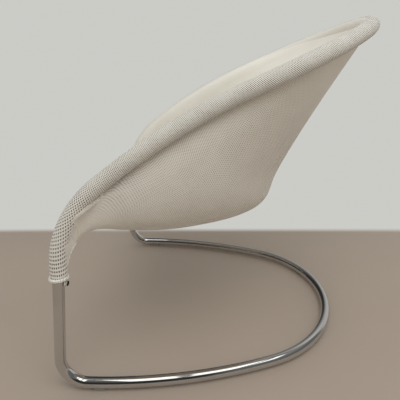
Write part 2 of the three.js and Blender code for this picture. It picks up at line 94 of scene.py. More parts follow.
def hollow(away: np.ndarray, tube: float, radius: np.ndarray) -> np.ndarray:
    """Height of a sheet that leaves a round tube through a smooth hollow.

    Args:
        away: distance from the tube's axis, in the plane in which the sheet ends up.
        tube: the tube's radius.
        radius: the radius of the hollow.

    Returns:
        The height over that plane, as a share of the tube's radius.
    """
    reach = np.sqrt(tube ** 2 + 2 * tube * radius)
    touch = reach * tube / (tube + radius)
    on_tube = np.sqrt(np.maximum(tube ** 2 - away ** 2, 0))
    beyond = radius - np.sqrt(np.maximum(radius ** 2 - np.maximum(reach - away, 0) ** 2, 0))
    return np.where(away < touch, on_tube, beyond) / tube


def around(values: np.ndarray, reach: int) -> np.ndarray:
    """Each value of a grid with its neighbours.

    Args:
        values: an array of rows and columns.
        reach: how many rows and columns away they go.

    Returns:
        An array of rows, columns and neighbours.
    """
    windows = np.lib.stride_tricks.sliding_window_view(np.pad(values, reach, "edge"), (2 * reach + 1,) * 2)
    return windows.reshape(*values.shape, -1)


def through(points: Sequence[Vector], share: float) -> Vector:
    """Point of the smooth curve through the points.

    Args:
        points: what the curve goes through.
        share: from 0 at the first point to 1 at the last.

    Returns:
        The point.
    """
    last = len(points) - 1
    place = min(max(share, 0), 1) * last
    i = min(int(place), last - 1)
    t = place - i
    a = points[i - 1] if i else points[0] * 2 - points[1]
    b, c = points[i], points[i + 1]
    d = points[i + 2] if i + 2 <= last else c * 2 - b
    bend, twist = 2 * a - 5 * b + 4 * c - d, 3 * b - 3 * c + d - a
    return 0.5 * (2 * b + (c - a) * t + bend * t * t + twist * t ** 3)


# Lines that the tubes follow


@dataclass(frozen=True)
class Station:
    """A place on a tube's centre line.

    Attributes:
        point: where it is.
        heading: the direction of travel.
        outward: the direction across the tube, away from the seat.
        travelled: the distance along the line, from its lower end.
    """

    point: Vector
    heading: Vector
    outward: Vector
    travelled: float

    @property
    def below(self) -> Vector:
        """The other direction across the tube, towards the floor on the arms."""
        return self.heading.cross(self.outward)

    @property
    def matrix(self) -> Matrix:
        """Carries a circle about Z to a ring of the tube here."""
        turn = Matrix((self.outward, self.below, self.heading)).transposed()
        return Matrix.Translation(self.point) @ turn.to_4x4()

    def mirrored(self, total: float) -> "Station":
        """The station on the other side of the chair, on a line of twice the total length."""
        flip = Hand.RIGHT.flip.to_3x3()
        return Station(
            flip @ self.point, -(flip @ self.heading), flip @ self.outward, 2 * total - self.travelled
        )


def with_frames(points: Sequence[Vector], headings: Sequence[Vector], outward: Vector) -> list[Station]:
    """Carries the outward direction along a line without twist.

    Args:
        points: the line's points.
        headings: the direction of travel at each point.
        outward: the outward direction at the first point.

    Returns:
        A station for each point.
    """
    side = outward.copy()
    before, travelled, stations = headings[0], 0.0, []
    for i, (point, heading) in enumerate(zip(points, headings)):
        if i:
            travelled += (point - points[i - 1]).length
        side.rotate(before.rotation_difference(heading))
        side = (side - heading * side.dot(heading)).normalized()
        stations.append(Station(point.copy(), heading.copy(), side.copy(), travelled))
        before = heading
    return stations


def both_halves(half: Sequence[Station]) -> list[Station]:
    """The left half's stations, up to the middle, and then their mirror image."""
    total = half[-1].travelled
    return [*half, *(station.mirrored(total) for station in reversed(half[:-1]))]


@dataclass(frozen=True)
class Leg:
    """The line of the left upright.

    Attributes:
        half_spacing: from the middle of the chair to the leg's axis.
        corner_depth: where the leg's axis meets the runner's, front to back.
        runner_height: the floor loop's axis above the floor.
        rake: how far the leg leans back.
        joint_height: where the upright ends and the rim tube starts.
    """

    half_spacing: float = 0.376
    corner_depth: float = -0.39795
    runner_height: float = 0.018
    rake: float = math.radians(4.8)
    joint_height: float = 0.330

    @property
    def heading(self) -> Vector:
        """The direction up the leg."""
        return Vector((0, math.sin(self.rake), math.cos(self.rake)))

    @property
    def joint_at(self) -> float:
        """Distance from the foot corner to the joint."""
        return (self.joint_height - self.runner_height) / math.cos(self.rake)

    def point(self, distance: float) -> Vector:
        """The point at a distance up the leg from the foot corner."""
        corner = Vector((self.half_spacing, self.corner_depth, self.runner_height))
        return corner + self.heading * distance

    def matrix(self, distance: float) -> Matrix:
        """A frame on the leg's axis with Z up the leg and Y to its rear."""
        return Matrix.Translation(self.point(distance)) @ Matrix.Rotation(-self.rake, 4, "X")


@dataclass(frozen=True)
class RimLine:
    """The rim tube's centre line: leg, shoulder, arm and half of the head.

    Attributes:
        leg: the upright that it continues.
        shoulder_rise: straight length from the joint to the shoulder bend.
        shoulder_radius: radius of the bend over the shoulder.
        arm_start: slope where the shoulder bend ends.
        arm_radius: radius of the arm's slight bow.
        head_slope: slope where the arm ends, and of the head's plane.
        head_reach: from the arm's end to the top of the head, along that slope.
        narrowing: how far the arm's end is inside the leg.
        head_samples: places at which the head's length is measured.
    """

    leg: Leg = Leg()
    shoulder_rise: float = 0.014
    shoulder_radius: float = 0.262
    arm_start: float = math.radians(38.9)
    arm_radius: float = 1.6
    head_slope: float = math.radians(24.1)
    head_reach: float = 0.336
    narrowing: float = 0.050
    head_samples: int = 400

    @property
    def leg_slope(self) -> float:
        """The leg's slope."""
        return math.pi / 2 - self.leg.rake

    @property
    def half_width(self) -> float:
        """From the middle of the chair to the arm's end."""
        return self.leg.half_spacing - self.narrowing

    @property
    def shoulder_length(self) -> float:
        """Length of the bend over the shoulder."""
        return self.shoulder_radius * (self.leg_slope - self.arm_start)

    @property
    def side_length(self) -> float:
        """Length from the start of the shoulder to the arm's end."""
        return self.shoulder_length + self.arm_radius * (self.arm_start - self.head_slope)

    @property
    def shoulder_foot(self) -> Vector:
        """Where the shoulder bend starts."""
        return self.leg.point(self.leg.joint_at + self.shoulder_rise)

    def side_slope(self, distance: float) -> float:
        """Slope at a distance from the start of the shoulder."""
        if distance <= self.shoulder_length:
            return self.leg_slope - max(distance, 0) / self.shoulder_radius
        return self.arm_start - (distance - self.shoulder_length) / self.arm_radius

    def side_point(self, distance: float) -> Vector:
        """Point at a distance from the start of the shoulder, which may be negative."""
        if distance < 0:
            return self.shoulder_foot + self.leg.heading * distance
        slope = self.side_slope(distance)
        bend = max(slope, self.arm_start)
        foot = self.shoulder_foot
        y = foot.y + self.shoulder_radius * (math.sin(self.leg_slope) - math.sin(bend))
        z = foot.z + self.shoulder_radius * (math.cos(bend) - math.cos(self.leg_slope))
        y += self.arm_radius * (math.sin(bend) - math.sin(slope))
        z += self.arm_radius * (math.cos(slope) - math.cos(bend))
        share = min(distance / self.side_length, 1)
        return Vector((self.leg.half_spacing - self.narrowing * share * share * (3 - 2 * share), y, z))

    def head_point(self, angle: float) -> Vector:
        """Point of the head's half ellipse, from a quarter turn at the arm to 0 at the top."""
        foot = self.side_point(self.side_length)
        reach = self.head_reach * math.cos(angle)
        return Vector((
            self.half_width * math.sin(angle),
            foot.y + reach * math.cos(self.head_slope),
            foot.z + reach * math.sin(self.head_slope),
        ))

    @cached_property
    def head_table(self) -> tuple[np.ndarray, np.ndarray]:
        """Angles round the head and the length of rim up to each."""
        angles = np.linspace(math.pi / 2, 0, self.head_samples)
        points = np.array([self.head_point(a) for a in angles])
        steps = np.linalg.norm(np.diff(points, axis=0), axis=1)
        return angles, np.concatenate([[0], np.cumsum(steps)])

    @property
    def half_length(self) -> float:
        """Length from the start of the shoulder to the middle of the head."""
        return self.side_length + float(self.head_table[1][-1])

    def point(self, distance: float) -> Vector:
        """Point at a distance from the start of the shoulder, as far as the middle of the head."""
        if distance <= self.side_length:
            return self.side_point(distance)
        angles, lengths = self.head_table
        return self.head_point(float(np.interp(distance - self.side_length, lengths, angles)))

    def half(self, start: float, step: float, end: float | None = None) -> list[Station]:
        """Stations along the left half.

        Args:
            start: where to start, from the start of the shoulder.
            step: about how far apart the stations are.
            end: where to end, or the middle of the head.

        Returns:
            The stations, evenly spaced.
        """
        end = self.half_length if end is None else end
        count = max(round((end - start) / step), 1)
        places = [start + (end - start) * i / count for i in range(count + 1)]
        points = [self.point(place) for place in places]
        headings = []
        for place in places:
            if place >= self.half_length - MM:
                headings.append(-ACROSS)
            elif place <= 0:
                headings.append(self.leg.heading)
            else:
                nudge = 0.1 * MM
                headings.append((self.point(place + nudge) - self.point(place - nudge)).normalized())
        return with_frames(points, headings, ACROSS)


@dataclass(frozen=True)
class LoopLine:
    """The floor loop's centre line, from the top of the upright to the middle of the rear.

    Attributes:
        leg: the upright.
        foot_radius: radius of the bend at the foot.
        sweep_radius: radius of the slow curve along the side.
        sweep: how far that curve turns.
    """

    leg: Leg = Leg()
    foot_radius: float = 0.065
    sweep_radius: float = 1.26
    sweep: float = math.radians(21.5)

    @property
    def rear_radius(self) -> float:
        """Radius of the rear, which meets the other half square to the middle."""
        return (self.leg.half_spacing - self.sweep_radius * (1 - math.cos(self.sweep))) / math.cos(self.sweep)

    def half(self, step: float) -> list[Station]:
        """Stations of the left half, about a step apart round the bends."""
        heading, point = -self.leg.heading, self.leg.point(self.leg.joint_at)
        turn = math.pi / 2 + self.leg.rake
        straight = self.leg.joint_at - self.foot_radius * math.tan(turn / 2)
        rings = math.ceil(straight / step)
        points = [point + heading * (straight * i / rings) for i in range(rings + 1)]
        headings = [heading.copy() for _ in points]
        point = points[-1]
        bends = (
            (self.foot_radius, turn, ACROSS),
            (self.sweep_radius, self.sweep, UP),
            (self.rear_radius, math.pi / 2 - self.sweep, UP),
        )
        for radius, angle, axis in bends:
            centre = point + axis.cross(heading) * radius
            count = math.ceil(max(radius * angle / step, math.degrees(angle) / 3))
            spoke, start = point - centre, heading
            for i in range(1, count + 1):
                turned = Quaternion(axis, angle * i / count)
                points.append(centre + turned @ spoke)
                headings.append(turned @ start)
            point, heading = points[-1], headings[-1]
        points[-1].x = 0
        headings[-1] = -ACROSS
        return with_frames(points, headings, ACROSS)

    def runner(self, setback: float) -> tuple[Vector, float]:
        """Point under the side and the tube's direction there, from the foot bend's end."""
        turn = setback / self.sweep_radius
        start = self.leg.corner_depth + self.foot_radius * math.tan((math.pi / 2 + self.leg.rake) / 2)
        x = self.leg.half_spacing - self.sweep_radius * (1 - math.cos(turn))
        return Vector((x, start + self.sweep_radius * math.sin(turn), 0)), math.pi / 2 + turn

    def rear(self, spread: float) -> tuple[Vector, float]:
        """Point under the rear and the tube's direction there, from the middle of the rear."""
        centre = self.half(0.02)[-1].point.y - self.rear_radius
        x, y = self.rear_radius * math.sin(spread), centre + self.rear_radius * math.cos(spread)
        return Vector((x, y, 0)), math.pi - spread


# Mesh helpers


def edges_within(verts: Iterable[bmesh.types.BMVert]) -> list[bmesh.types.BMEdge]:
    """The edges whose two ends are both among the vertices."""
    ring = set(verts)
    return list({e for v in ring for e in v.link_edges if e.verts[0] in ring and e.verts[1] in ring})


@dataclass
class TubeSkin:
    """A round skin drawn along stations.

    Attributes:
        stations: where its rings are.
        radius: its radius, or a function of the station.
        segments: faces round it.
    """

    stations: Sequence[Station]
    radius: float | Callable[[Station], float]
    segments: int = 32

    def radius_at(self, station: Station) -> float:
        """The skin's radius at a station."""
        return self.radius(station) if callable(self.radius) else self.radius

    def draw(self, bm: bmesh.types.BMesh) -> tuple[list, list]:
        """Adds the skin to a mesh.

        Args:
            bm: the mesh to add to.

        Returns:
            The vertices of the first ring and of the last.
        """
        first = self.stations[0]
        made = bmesh.ops.create_circle(
            bm, cap_ends=False, segments=self.segments, radius=self.radius_at(first), matrix=first.matrix
        )
        ring = start = made["verts"]
        for before, after in zip(self.stations, self.stations[1:]):
            grown = bmesh.ops.extrude_edge_only(bm, edges=edges_within(ring))["geom"]
            ring = [g for g in grown if isinstance(g, bmesh.types.BMVert)]
            scale = self.radius_at(after) / self.radius_at(before)
            carry = after.matrix @ Matrix.Diagonal((scale, scale, 1, 1)) @ before.matrix.inverted()
            bmesh.ops.transform(bm, matrix=carry, verts=ring)
        return start, ring

    def draw_capped(self, bm: bmesh.types.BMesh) -> None:
        """Adds the skin and closes both ends with a flat face."""
        for ring in self.draw(bm):
            bmesh.ops.contextual_create(bm, geom=edges_within(ring))

    def draw_wall(self, bm: bmesh.types.BMesh, bore: float) -> None:
        """Adds the skin, an inner skin of the bore's radius, and the two ring-shaped ends."""
        outer = self.draw(bm)
        inner = TubeSkin(self.stations, bore, self.segments).draw(bm)
        for ring, hole in zip(outer, inner):
            bmesh.ops.bridge_loops(bm, edges=edges_within(ring) + edges_within(hole))


def finished(
    name: str, bm: bmesh.types.BMesh, finish: "Finish", node: str, hand: Hand = Hand.LEFT
) -> Piece:
    """Turns a mesh under construction into a piece of the chair.

    Args:
        name: the piece's name.
        bm: the mesh, which is freed.
        finish: what the piece is made of.
        node: the CAD node that it stands for.
        hand: the side that it goes on; a mesh drawn on the left is mirrored for the right.

    Returns:
        The new piece, riding on the chair's body.
    """
    bmesh.ops.transform(bm, matrix=hand.flip, verts=bm.verts)
    bmesh.ops.recalc_face_normals(bm, faces=bm.faces)
    mesh = bpy.data.meshes.new(name)
    bm.to_mesh(mesh)
    bm.free()
    mesh.polygons.foreach_set("use_smooth", [True] * len(mesh.polygons))
    mesh.materials.append(finish.material)
    piece = bpy.data.objects.new(name, mesh)
    bpy.context.scene.collection.objects.link(piece)
    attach(piece, BODY)
    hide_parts(node)
    log.info("%s: %d faces, for %s", name, len(mesh.polygons), node)
    return piece


def keep_sharp(piece: Piece) -> Piece:
    """Keeps a smooth-shaded piece's edges crisp where its faces turn sharply, and returns it."""
    piece.data.set_sharp_from_angle(angle=SHARP_TURN)
    return piece


def values_of(items: Sequence, name: str, size: int = 1, kind: type = float) -> np.ndarray:
    """One property of every item of a mesh's collection.

    Args:
        items: the collection.
        name: the property's name.
        size: how many numbers it has.
        kind: what kind of numbers they are.

    Returns:
        An array with a row for each item, or a flat one for a property of a single number.
    """
    values = np.zeros(len(items) * size, kind)
    items.foreach_get(name, values)
    return values.reshape(-1, size) if size > 1 else values


def puff(skin: Piece, pinned: Sequence[int], swell: float) -> None:
    """Pushes a skin out by cloth simulation, as the padding in it does.

    Args:
        skin: the object to push, which keeps its vertices' order.
        pinned: the vertices that stay.
        swell: how far a vertex may move.
    """
    group = skin.vertex_groups.new(name="pinned")
    group.add(list(pinned), 1.0, "REPLACE")
    cloth = skin.modifiers.new("cloth", "CLOTH")
    settings = cloth.settings
    settings.vertex_group_mass = "pinned"
    settings.use_pressure = True
    settings.uniform_pressure_force = PUFF_PRESSURE
    settings.effector_weights.gravity = 0
    scene = bpy.context.scene
    for step in range(PUFF_FRAMES):
        scene.frame_set(step + 1)
    evaluated = skin.evaluated_get(bpy.context.evaluated_depsgraph_get())
    before, after = (values_of(piece.data.vertices, "co", 3) for piece in (skin, evaluated))
    moved = after - before
    length = np.linalg.norm(moved, axis=1, keepdims=True)
    moved *= np.minimum(1, swell / np.maximum(length, 1e-9))
    skin.modifiers.remove(cloth)
    skin.data.vertices.foreach_set("co", (before + moved).ravel())
    scene.frame_set(1)


@dataclass(frozen=True)
class KnitLay:
    """How the knit lies at one place of the roll, where it is pulled and turned by the frame.

    Attributes:
        place: distance from the sleeve's lower end.
        row_pitch: from one row of stitches to the next.
        row_turn: how far that step is turned from the roll's run.
        column_pitch: from one column of stitches to the next.
        column_turn: how far that step is turned from the roll's run.
    """

    place: float
    row_pitch: float
    row_turn: float
    column_pitch: float
    column_turn: float

    @property
    def rates(self) -> tuple[float, float, float, float]:
        """Columns per metre along the roll and round it, and rows per metre along and round it."""
        column, row = math.radians(self.column_turn), math.radians(self.row_turn)
        return (
            math.cos(column) / self.column_pitch,
            math.sin(column) / self.column_pitch,
            math.cos(row) / self.row_pitch,
            math.sin(row) / self.row_pitch,
        )


ROLL_LAYS = (
    KnitLay(0.000, 0.0096, 178, 0.0049, 89),
    KnitLay(0.040, 0.0094, 170, 0.0049, 87),
    KnitLay(0.080, 0.0086, 152, 0.0052, 80),
    KnitLay(0.125, 0.0070, 131, 0.0054, 67),
    KnitLay(0.175, 0.0054, 113, 0.0054, 45),
    KnitLay(0.250, 0.0042, 94, 0.0043, 16),
    KnitLay(0.335, 0.0036, 82, 0.0039, 5),
    KnitLay(0.420, 0.0035, 76, 0.0037, -4),
    KnitLay(0.640, 0.0035, 77, 0.0034, -25),
    KnitLay(0.760, 0.0035, 80, 0.0035, -29),
    KnitLay(0.950, 0.0037, 86, 0.0038, -15),
    KnitLay(1.175, 0.0037, 90, 0.0037, 0),
)


def stitches(travelled: np.ndarray, arc: np.ndarray, lays: Sequence[KnitLay]) -> np.ndarray:
    """Counts the stitches up to each point of the roll.

    Args:
        travelled: distance of each point from the sleeve's lower end.
        arc: distance round the roll from its outward side.
        lays: how the knit lies, from the lower end on.

    Returns:
        The columns and the rows up to each point.
    """
    places = [lay.place for lay in lays]
    table = np.linspace(0, places[-1], LAY_SAMPLES)
    rates = np.array([lay.rates for lay in lays])
    counts = []
    for along, across in ((0, 1), (2, 3)):
        rate = np.interp(table, places, rates[:, along])
        count = np.concatenate([[0], np.cumsum((rate[1:] + rate[:-1]) / 2 * np.diff(table))])
        turned = np.interp(travelled, places, rates[:, across]) * arc
        counts.append(np.interp(travelled, table, count) + turned)
    return np.stack(counts, 1)


def corner_verts(mesh: bpy.types.Mesh) -> np.ndarray:
    """The vertex of each face corner of a mesh."""
    return values_of(mesh.loops, "vertex_index", kind=int)


def corner_angles(mesh: bpy.types.Mesh, angle: np.ndarray) -> np.ndarray:
    """Angles at the face corners of a skin, without a jump back inside a face.

    Args:
        mesh: the skin's mesh.
        angle: the angle round the skin at each vertex, up to half a turn either way.

    Returns:
        The angle at each face corner.
    """
    turn = angle[corner_verts(mesh)]
    totals = values_of(mesh.polygons, "loop_total", kind=int)
    starts = np.concatenate([[0], np.cumsum(totals)[:-1]])
    owner = np.repeat(np.arange(len(totals)), totals)
    spread = np.maximum.reduceat(turn, starts) - np.minimum.reduceat(turn, starts)
    return np.where((spread[owner] > math.pi) & (turn < 0), turn + 2 * math.pi, turn)


def knit_uv(mesh: bpy.types.Mesh, counts: np.ndarray) -> None:
    """Gives a mesh the UV map that the knit follows.

    Args:
        mesh: the piece's mesh.
        counts: columns and rows of stitches at each face corner.
    """
    layer = mesh.uv_layers.new(name="knit")
    layer.data.foreach_set("uv", counts.astype(np.float32).ravel())


def closed_stitches(mesh: bpy.types.Mesh, amount: np.ndarray) -> None:
    """Marks where the knit is pulled closed, so that no holes show.

    Args:
        mesh: the piece's mesh.
        amount: from 0, open, to 1, closed, at each vertex.
    """
    layer = mesh.attributes.new("closed", "FLOAT", "POINT")
    layer.data.foreach_set("value", amount.astype(np.float32))


# Finishes


def shade(colour: Colour, share: float) -> Colour:
    """The colour, darkened to a share of its brightness."""
    return tuple(c * share for c in colour)


class Nodes:
    """The node tree of a material or world, with short calls that add nodes and link them."""

    def __init__(self, owner: bpy.types.Material | bpy.types.World) -> None:
        """Turns on the owner's nodes."""
        self.owner = owner
        owner.use_nodes = True
        self.tree = owner.node_tree
        self.shader = self.tree.nodes.get("Principled BSDF")

    def set(self, **values: float | Colour) -> None:
        """Sets the shader's own sockets, named with underscores for spaces."""
        for name, value in values.items():
            socket = self.shader.inputs[name.replace("_", " ")]
            socket.default_value = (*value, 1) if isinstance(value, tuple) else value

    def add(self, kind: str, inputs: dict | None = None, **settings: object) -> bpy.types.Node:
        """Adds a node.

        Args:
            kind: the node's type, without its ShaderNode prefix.
            inputs: values or sockets for its inputs, by name or number.
            settings: the node's own properties.

        Returns:
            The node.
        """
        node = self.tree.nodes.new("ShaderNode" + kind)
        for name, value in settings.items():
            setattr(node, name, value)
        for key, value in (inputs or {}).items():
            self.feed(value, node.inputs[key])
        return node

    def feed(self, value: object, target: Socket) -> None:
        """Links a socket to the target, or sets the target's value."""
        if isinstance(value, Socket):
            self.tree.links.new(value, target)
        else:
            target.default_value = value

    def coordinates(self, kind: str = "Object") -> Socket:
        """The coordinates of the point that is shaded."""
        return self.add("TexCoord").outputs[kind]

    def math(self, operation: str, *values: object) -> Socket:
        """The result of a math node on the values."""
        return self.add("Math", dict(enumerate(values)), operation=operation).outputs[0]

    def times(self, first: object, second: object) -> Socket:
        """The product of two values."""
        return self.math("MULTIPLY", first, second)

    def span(self, value: object, low: float, high: float, start: float = 0, end: float = 1) -> Socket:
        """Maps low..high smoothly to start..end."""
        inputs = {"Value": value, "From Min": low, "From Max": high, "To Min": start, "To Max": end}
        return self.add("MapRange", inputs, interpolation_type="SMOOTHSTEP").outputs[0]

    def blend(self, share: object, first: object, second: object) -> Socket:
        """A colour between the first and the second."""
        node = self.add("Mix", {0: share}, data_type="RGBA")
        self.feed(first if not isinstance(first, tuple) else (*first, 1), node.inputs[6])
        self.feed(second if not isinstance(second, tuple) else (*second, 1), node.inputs[7])
        return node.outputs[2]

    def ramp(self, value: object, stops: Sequence[tuple[float, float]]) -> Socket:
        """A grey that passes through the stops' values at their places."""
        node = self.add("ValToRGB", {0: value})
        elements = node.color_ramp.elements
        for element, place in zip(elements, (stops[0][0], stops[-1][0])):
            element.position = place
        for place, _ in stops[1:-1]:
            elements.new(place)
        for element, (_, grey) in zip(elements, stops):
            element.color = (grey, grey, grey, 1)
        return node.outputs[0]

    def noise(self, scale: float, detail: float = 2, coordinates: str = "Object") -> Socket:
        """Noise of a scale per metre, or per stitch on the UV map."""
        inputs = {"Vector": self.coordinates(coordinates), "Scale": scale, "Detail": detail}
        return self.add("TexNoise", inputs).outputs[0]

    def bump(self, height: object, strength: float, distance: float) -> None:
        """Raises the surface by a height, which is worth the distance in metres."""
        node = self.add("Bump", {"Height": height, "Strength": strength, "Distance": distance})
        self.feed(node.outputs[0], self.shader.inputs["Normal"])

    def colour(self, socket: object) -> None:
        """Links the shader's base colour."""
        self.feed(socket, self.shader.inputs["Base Color"])

    def roughness(self, socket: object) -> None:
        """Links the shader's roughness."""
        self.feed(socket, self.shader.inputs["Roughness"])


@dataclass(frozen=True)
class Finish:
    """What a piece is made of.

    Attributes:
        name: the material's name.
        slot: the name of its slot; not used.
        colour: its main colour.
        rough: its main roughness.
    """

    name: str
    slot: str
    colour: Colour
    rough: float

    def draw(self, nodes: Nodes) -> None:
        """Draws the material's nodes."""
        raise NotImplementedError

    @cached_property
    def material(self) -> bpy.types.Material:
        """The material, made once."""
        nodes = Nodes(bpy.data.materials.new(self.name))
        self.draw(nodes)
        return nodes.owner


@dataclass(frozen=True)
class Polished(Finish):
    """Mirror chrome.

    Attributes:
        haze: how much rougher it is where hands have dulled it.
    """

    haze: float = 0.05

    def draw(self, nodes: Nodes) -> None:
        """Draws the chrome."""
        nodes.set(Metallic=1.0)
        cloud = nodes.noise(9, 3)
        nodes.colour(nodes.blend(nodes.span(cloud, 0.35, 0.7), self.colour, shade(self.colour, 0.94)))
        nodes.roughness(nodes.span(nodes.noise(26, 4), 0.35, 0.75, self.rough, self.rough + self.haze))
        nodes.bump(nodes.noise(60, 1), 0.04, 0.2 * MM)


@dataclass(frozen=True)
class Worked(Finish):
    """Drawn or coated metal with a fine grain.

    Attributes:
        metallic: how much of it is bare metal, from 0 to 1.
        grain: the grain's scale per metre.
    """

    metallic: float = 1.0
    grain: float = 900

    def draw(self, nodes: Nodes) -> None:
        """Draws the metal."""
        nodes.set(Metallic=self.metallic)
        fine = nodes.noise(self.grain, 3)
        nodes.colour(nodes.blend(fine, shade(self.colour, 0.8), self.colour))
        nodes.roughness(nodes.span(fine, 0.3, 0.7, self.rough - 0.08, self.rough + 0.08))
        nodes.bump(fine, 0.15, 0.1 * MM)


@dataclass(frozen=True)
class Moulded(Finish):
    """Moulded plastic with a faint skin texture.

    Attributes:
        clear: how much light it lets through.
    """

    clear: float = 0.0

    def draw(self, nodes: Nodes) -> None:
        """Draws the plastic."""
        nodes.set(Transmission_Weight=self.clear, IOR=1.49)
        skin = nodes.noise(420, 3)
        nodes.colour(nodes.blend(nodes.noise(60, 2), shade(self.colour, 0.9), self.colour))
        nodes.roughness(nodes.span(skin, 0.3, 0.7, self.rough - 0.05, self.rough + 0.1))
        nodes.bump(skin, 0.1, 0.1 * MM)


@dataclass(frozen=True)
class Knitted(Finish):
    """Thick knit with a small hole between the stitches, on the piece's own UV map.

    Attributes:
        hole: the colour seen down a hole, which is painted shade.
        hole_share: how open the holes are, from 0 to 1.
        depth: how deep the stitches stand over the holes.
        fuzz: weight of the sheen of the yarn's loose fibres.
    """

    hole: Colour = (0.12, 0.1, 0.08)
    hole_share: float = 0.5
    depth: float = 1.2 * MM
    fuzz: float = 0.25

    def draw(self, nodes: Nodes) -> None:
        """Draws the knit."""
        nodes.set(Sheen_Weight=self.fuzz, Sheen_Roughness=0.5, Roughness=self.rough, Specular_IOR_Level=0.2)
        stitch = nodes.add("UVMap", uv_map="knit").outputs[0]
        split = nodes.add("SeparateXYZ", {0: stitch})
        waves = [
            nodes.math("COSINE", nodes.times(split.outputs[axis], 2 * math.pi)) for axis in (0, 1)
        ]
        across, along = (nodes.math("MULTIPLY_ADD", wave, 0.5, 0.5) for wave in waves)
        pit = nodes.times(across, along)
        rim = 1 - self.hole_share
        closed = nodes.add("Attribute", attribute_name="closed").outputs["Fac"]
        worn = nodes.span(nodes.noise(24, 3), 0.3, 0.7, 0.75, 1.0)
        shown = nodes.times(nodes.math("SUBTRACT", 1.0, closed), worn)
        open_hole = nodes.times(nodes.span(pit, rim * 0.6, rim * 1.4), shown)
        cloud = nodes.noise(5, 3)
        yarn = nodes.blend(nodes.span(cloud, 0.3, 0.7), self.colour, shade(self.colour, 0.96))
        fibre = nodes.noise(3, 2, "UV")
        yarn = nodes.blend(nodes.times(fibre, 0.12), yarn, shade(self.colour, 0.7))
        # The open holes take the hole colour: painted shade down the stitch holes.
        nodes.colour(nodes.blend(open_hole, yarn, self.hole))
        stitched = nodes.math("MULTIPLY_ADD", closed, -0.2, 0.25)
        loops = nodes.times(nodes.math("POWER", along, 2.0), stitched)
        height = nodes.math("SUBTRACT", nodes.math("SUBTRACT", 1.0, open_hole), loops)
        nodes.bump(nodes.math("MULTIPLY_ADD", fibre, 0.2, height), 0.8, self.depth)


@dataclass(frozen=True)
class Woven(Finish):
    """Close-woven tape or cord, on Object coordinates.

    Attributes:
        pitch: threads per metre.
    """

    pitch: float = 700

    def draw(self, nodes: Nodes) -> None:
        """Draws the tape."""
        nodes.set(Sheen_Weight=0.2, Roughness=self.rough, Specular_IOR_Level=0.2)
        where = nodes.coordinates()
        split = nodes.add("SeparateXYZ", {0: where})
        waves = [nodes.math("SINE", nodes.times(out, self.pitch * 2)) for out in split.outputs]
        crossed = nodes.times(waves[0], waves[2])
        weave = nodes.math("ADD", crossed, nodes.times(waves[1], 0.6))
        share = nodes.span(weave, -1.2, 0.6)
        nodes.colour(nodes.blend(share, shade(self.colour, 0.62), self.colour))
        nodes.bump(nodes.math("ADD", share, nodes.times(nodes.noise(900), 0.5)), 0.5, 0.4 * MM)


@dataclass(frozen=True)
class Foamed(Finish):
    """Open-cell foam."""

    def draw(self, nodes: Nodes) -> None:
        """Draws the foam."""
        nodes.set(Roughness=self.rough)
        where = nodes.coordinates()
        cells = nodes.add("TexVoronoi", {"Vector": where, "Scale": 700.0}).outputs[0]
        nodes.colour(nodes.blend(nodes.span(cells, 0.1, 0.5), shade(self.colour, 0.6), self.colour))
        nodes.bump(cells, 0.6, 0.5 * MM)


CHROME = Polished("chrome", "chrome_tube", (0.66, 0.655, 0.645), 0.05)
STEEL = Worked("plain_steel", "plain_steel", (0.52, 0.53, 0.54), 0.38)
BLACK_STEEL = Worked("black_steel", "black_steel", (0.018, 0.018, 0.02), 0.42, metallic=0.6, grain=1400)
NYLON = Moulded("white_nylon", "white_nylon", (0.78, 0.77, 0.73), 0.45)
CLEAR = Moulded("cloudy_plastic", "clear_plastic", (0.44, 0.42, 0.38), 0.35, clear=0.45)
FOAM = Foamed("open_cell_foam", "foam", (0.72, 0.70, 0.64), 0.95)
# Each knit's hole colour is painted shade down its stitch holes.
KNIT = Knitted(
    "ivory_knit", "ivory_knit", (0.80, 0.775, 0.71), 0.85,
    hole=(0.33, 0.29, 0.24), hole_share=0.54, depth=0.7 * MM,
)
# The lining is a lighter copy of the ivory knit with pale holes: painted light on the bucket's inside and on
# the knit turned over the roll.
LINING = Knitted(
    "ivory_lining_painted_light", "ivory_knit", (0.90, 0.885, 0.825), 0.85,
    hole=(0.76, 0.74, 0.67), hole_share=0.4, depth=0.2 * MM,
)
# The roll's knit paints its holes near black: painted shade down the holes over the foam.
ROLL_KNIT = Knitted(
    "ivory_knit_roll", "ivory_knit", (0.82, 0.80, 0.74), 0.85, hole=(0.09, 0.075, 0.065), hole_share=0.60
)
BINDING = Woven("ivory_binding", "ivory_binding", (0.86, 0.85, 0.79), 0.85)


# The chair's sub-assemblies


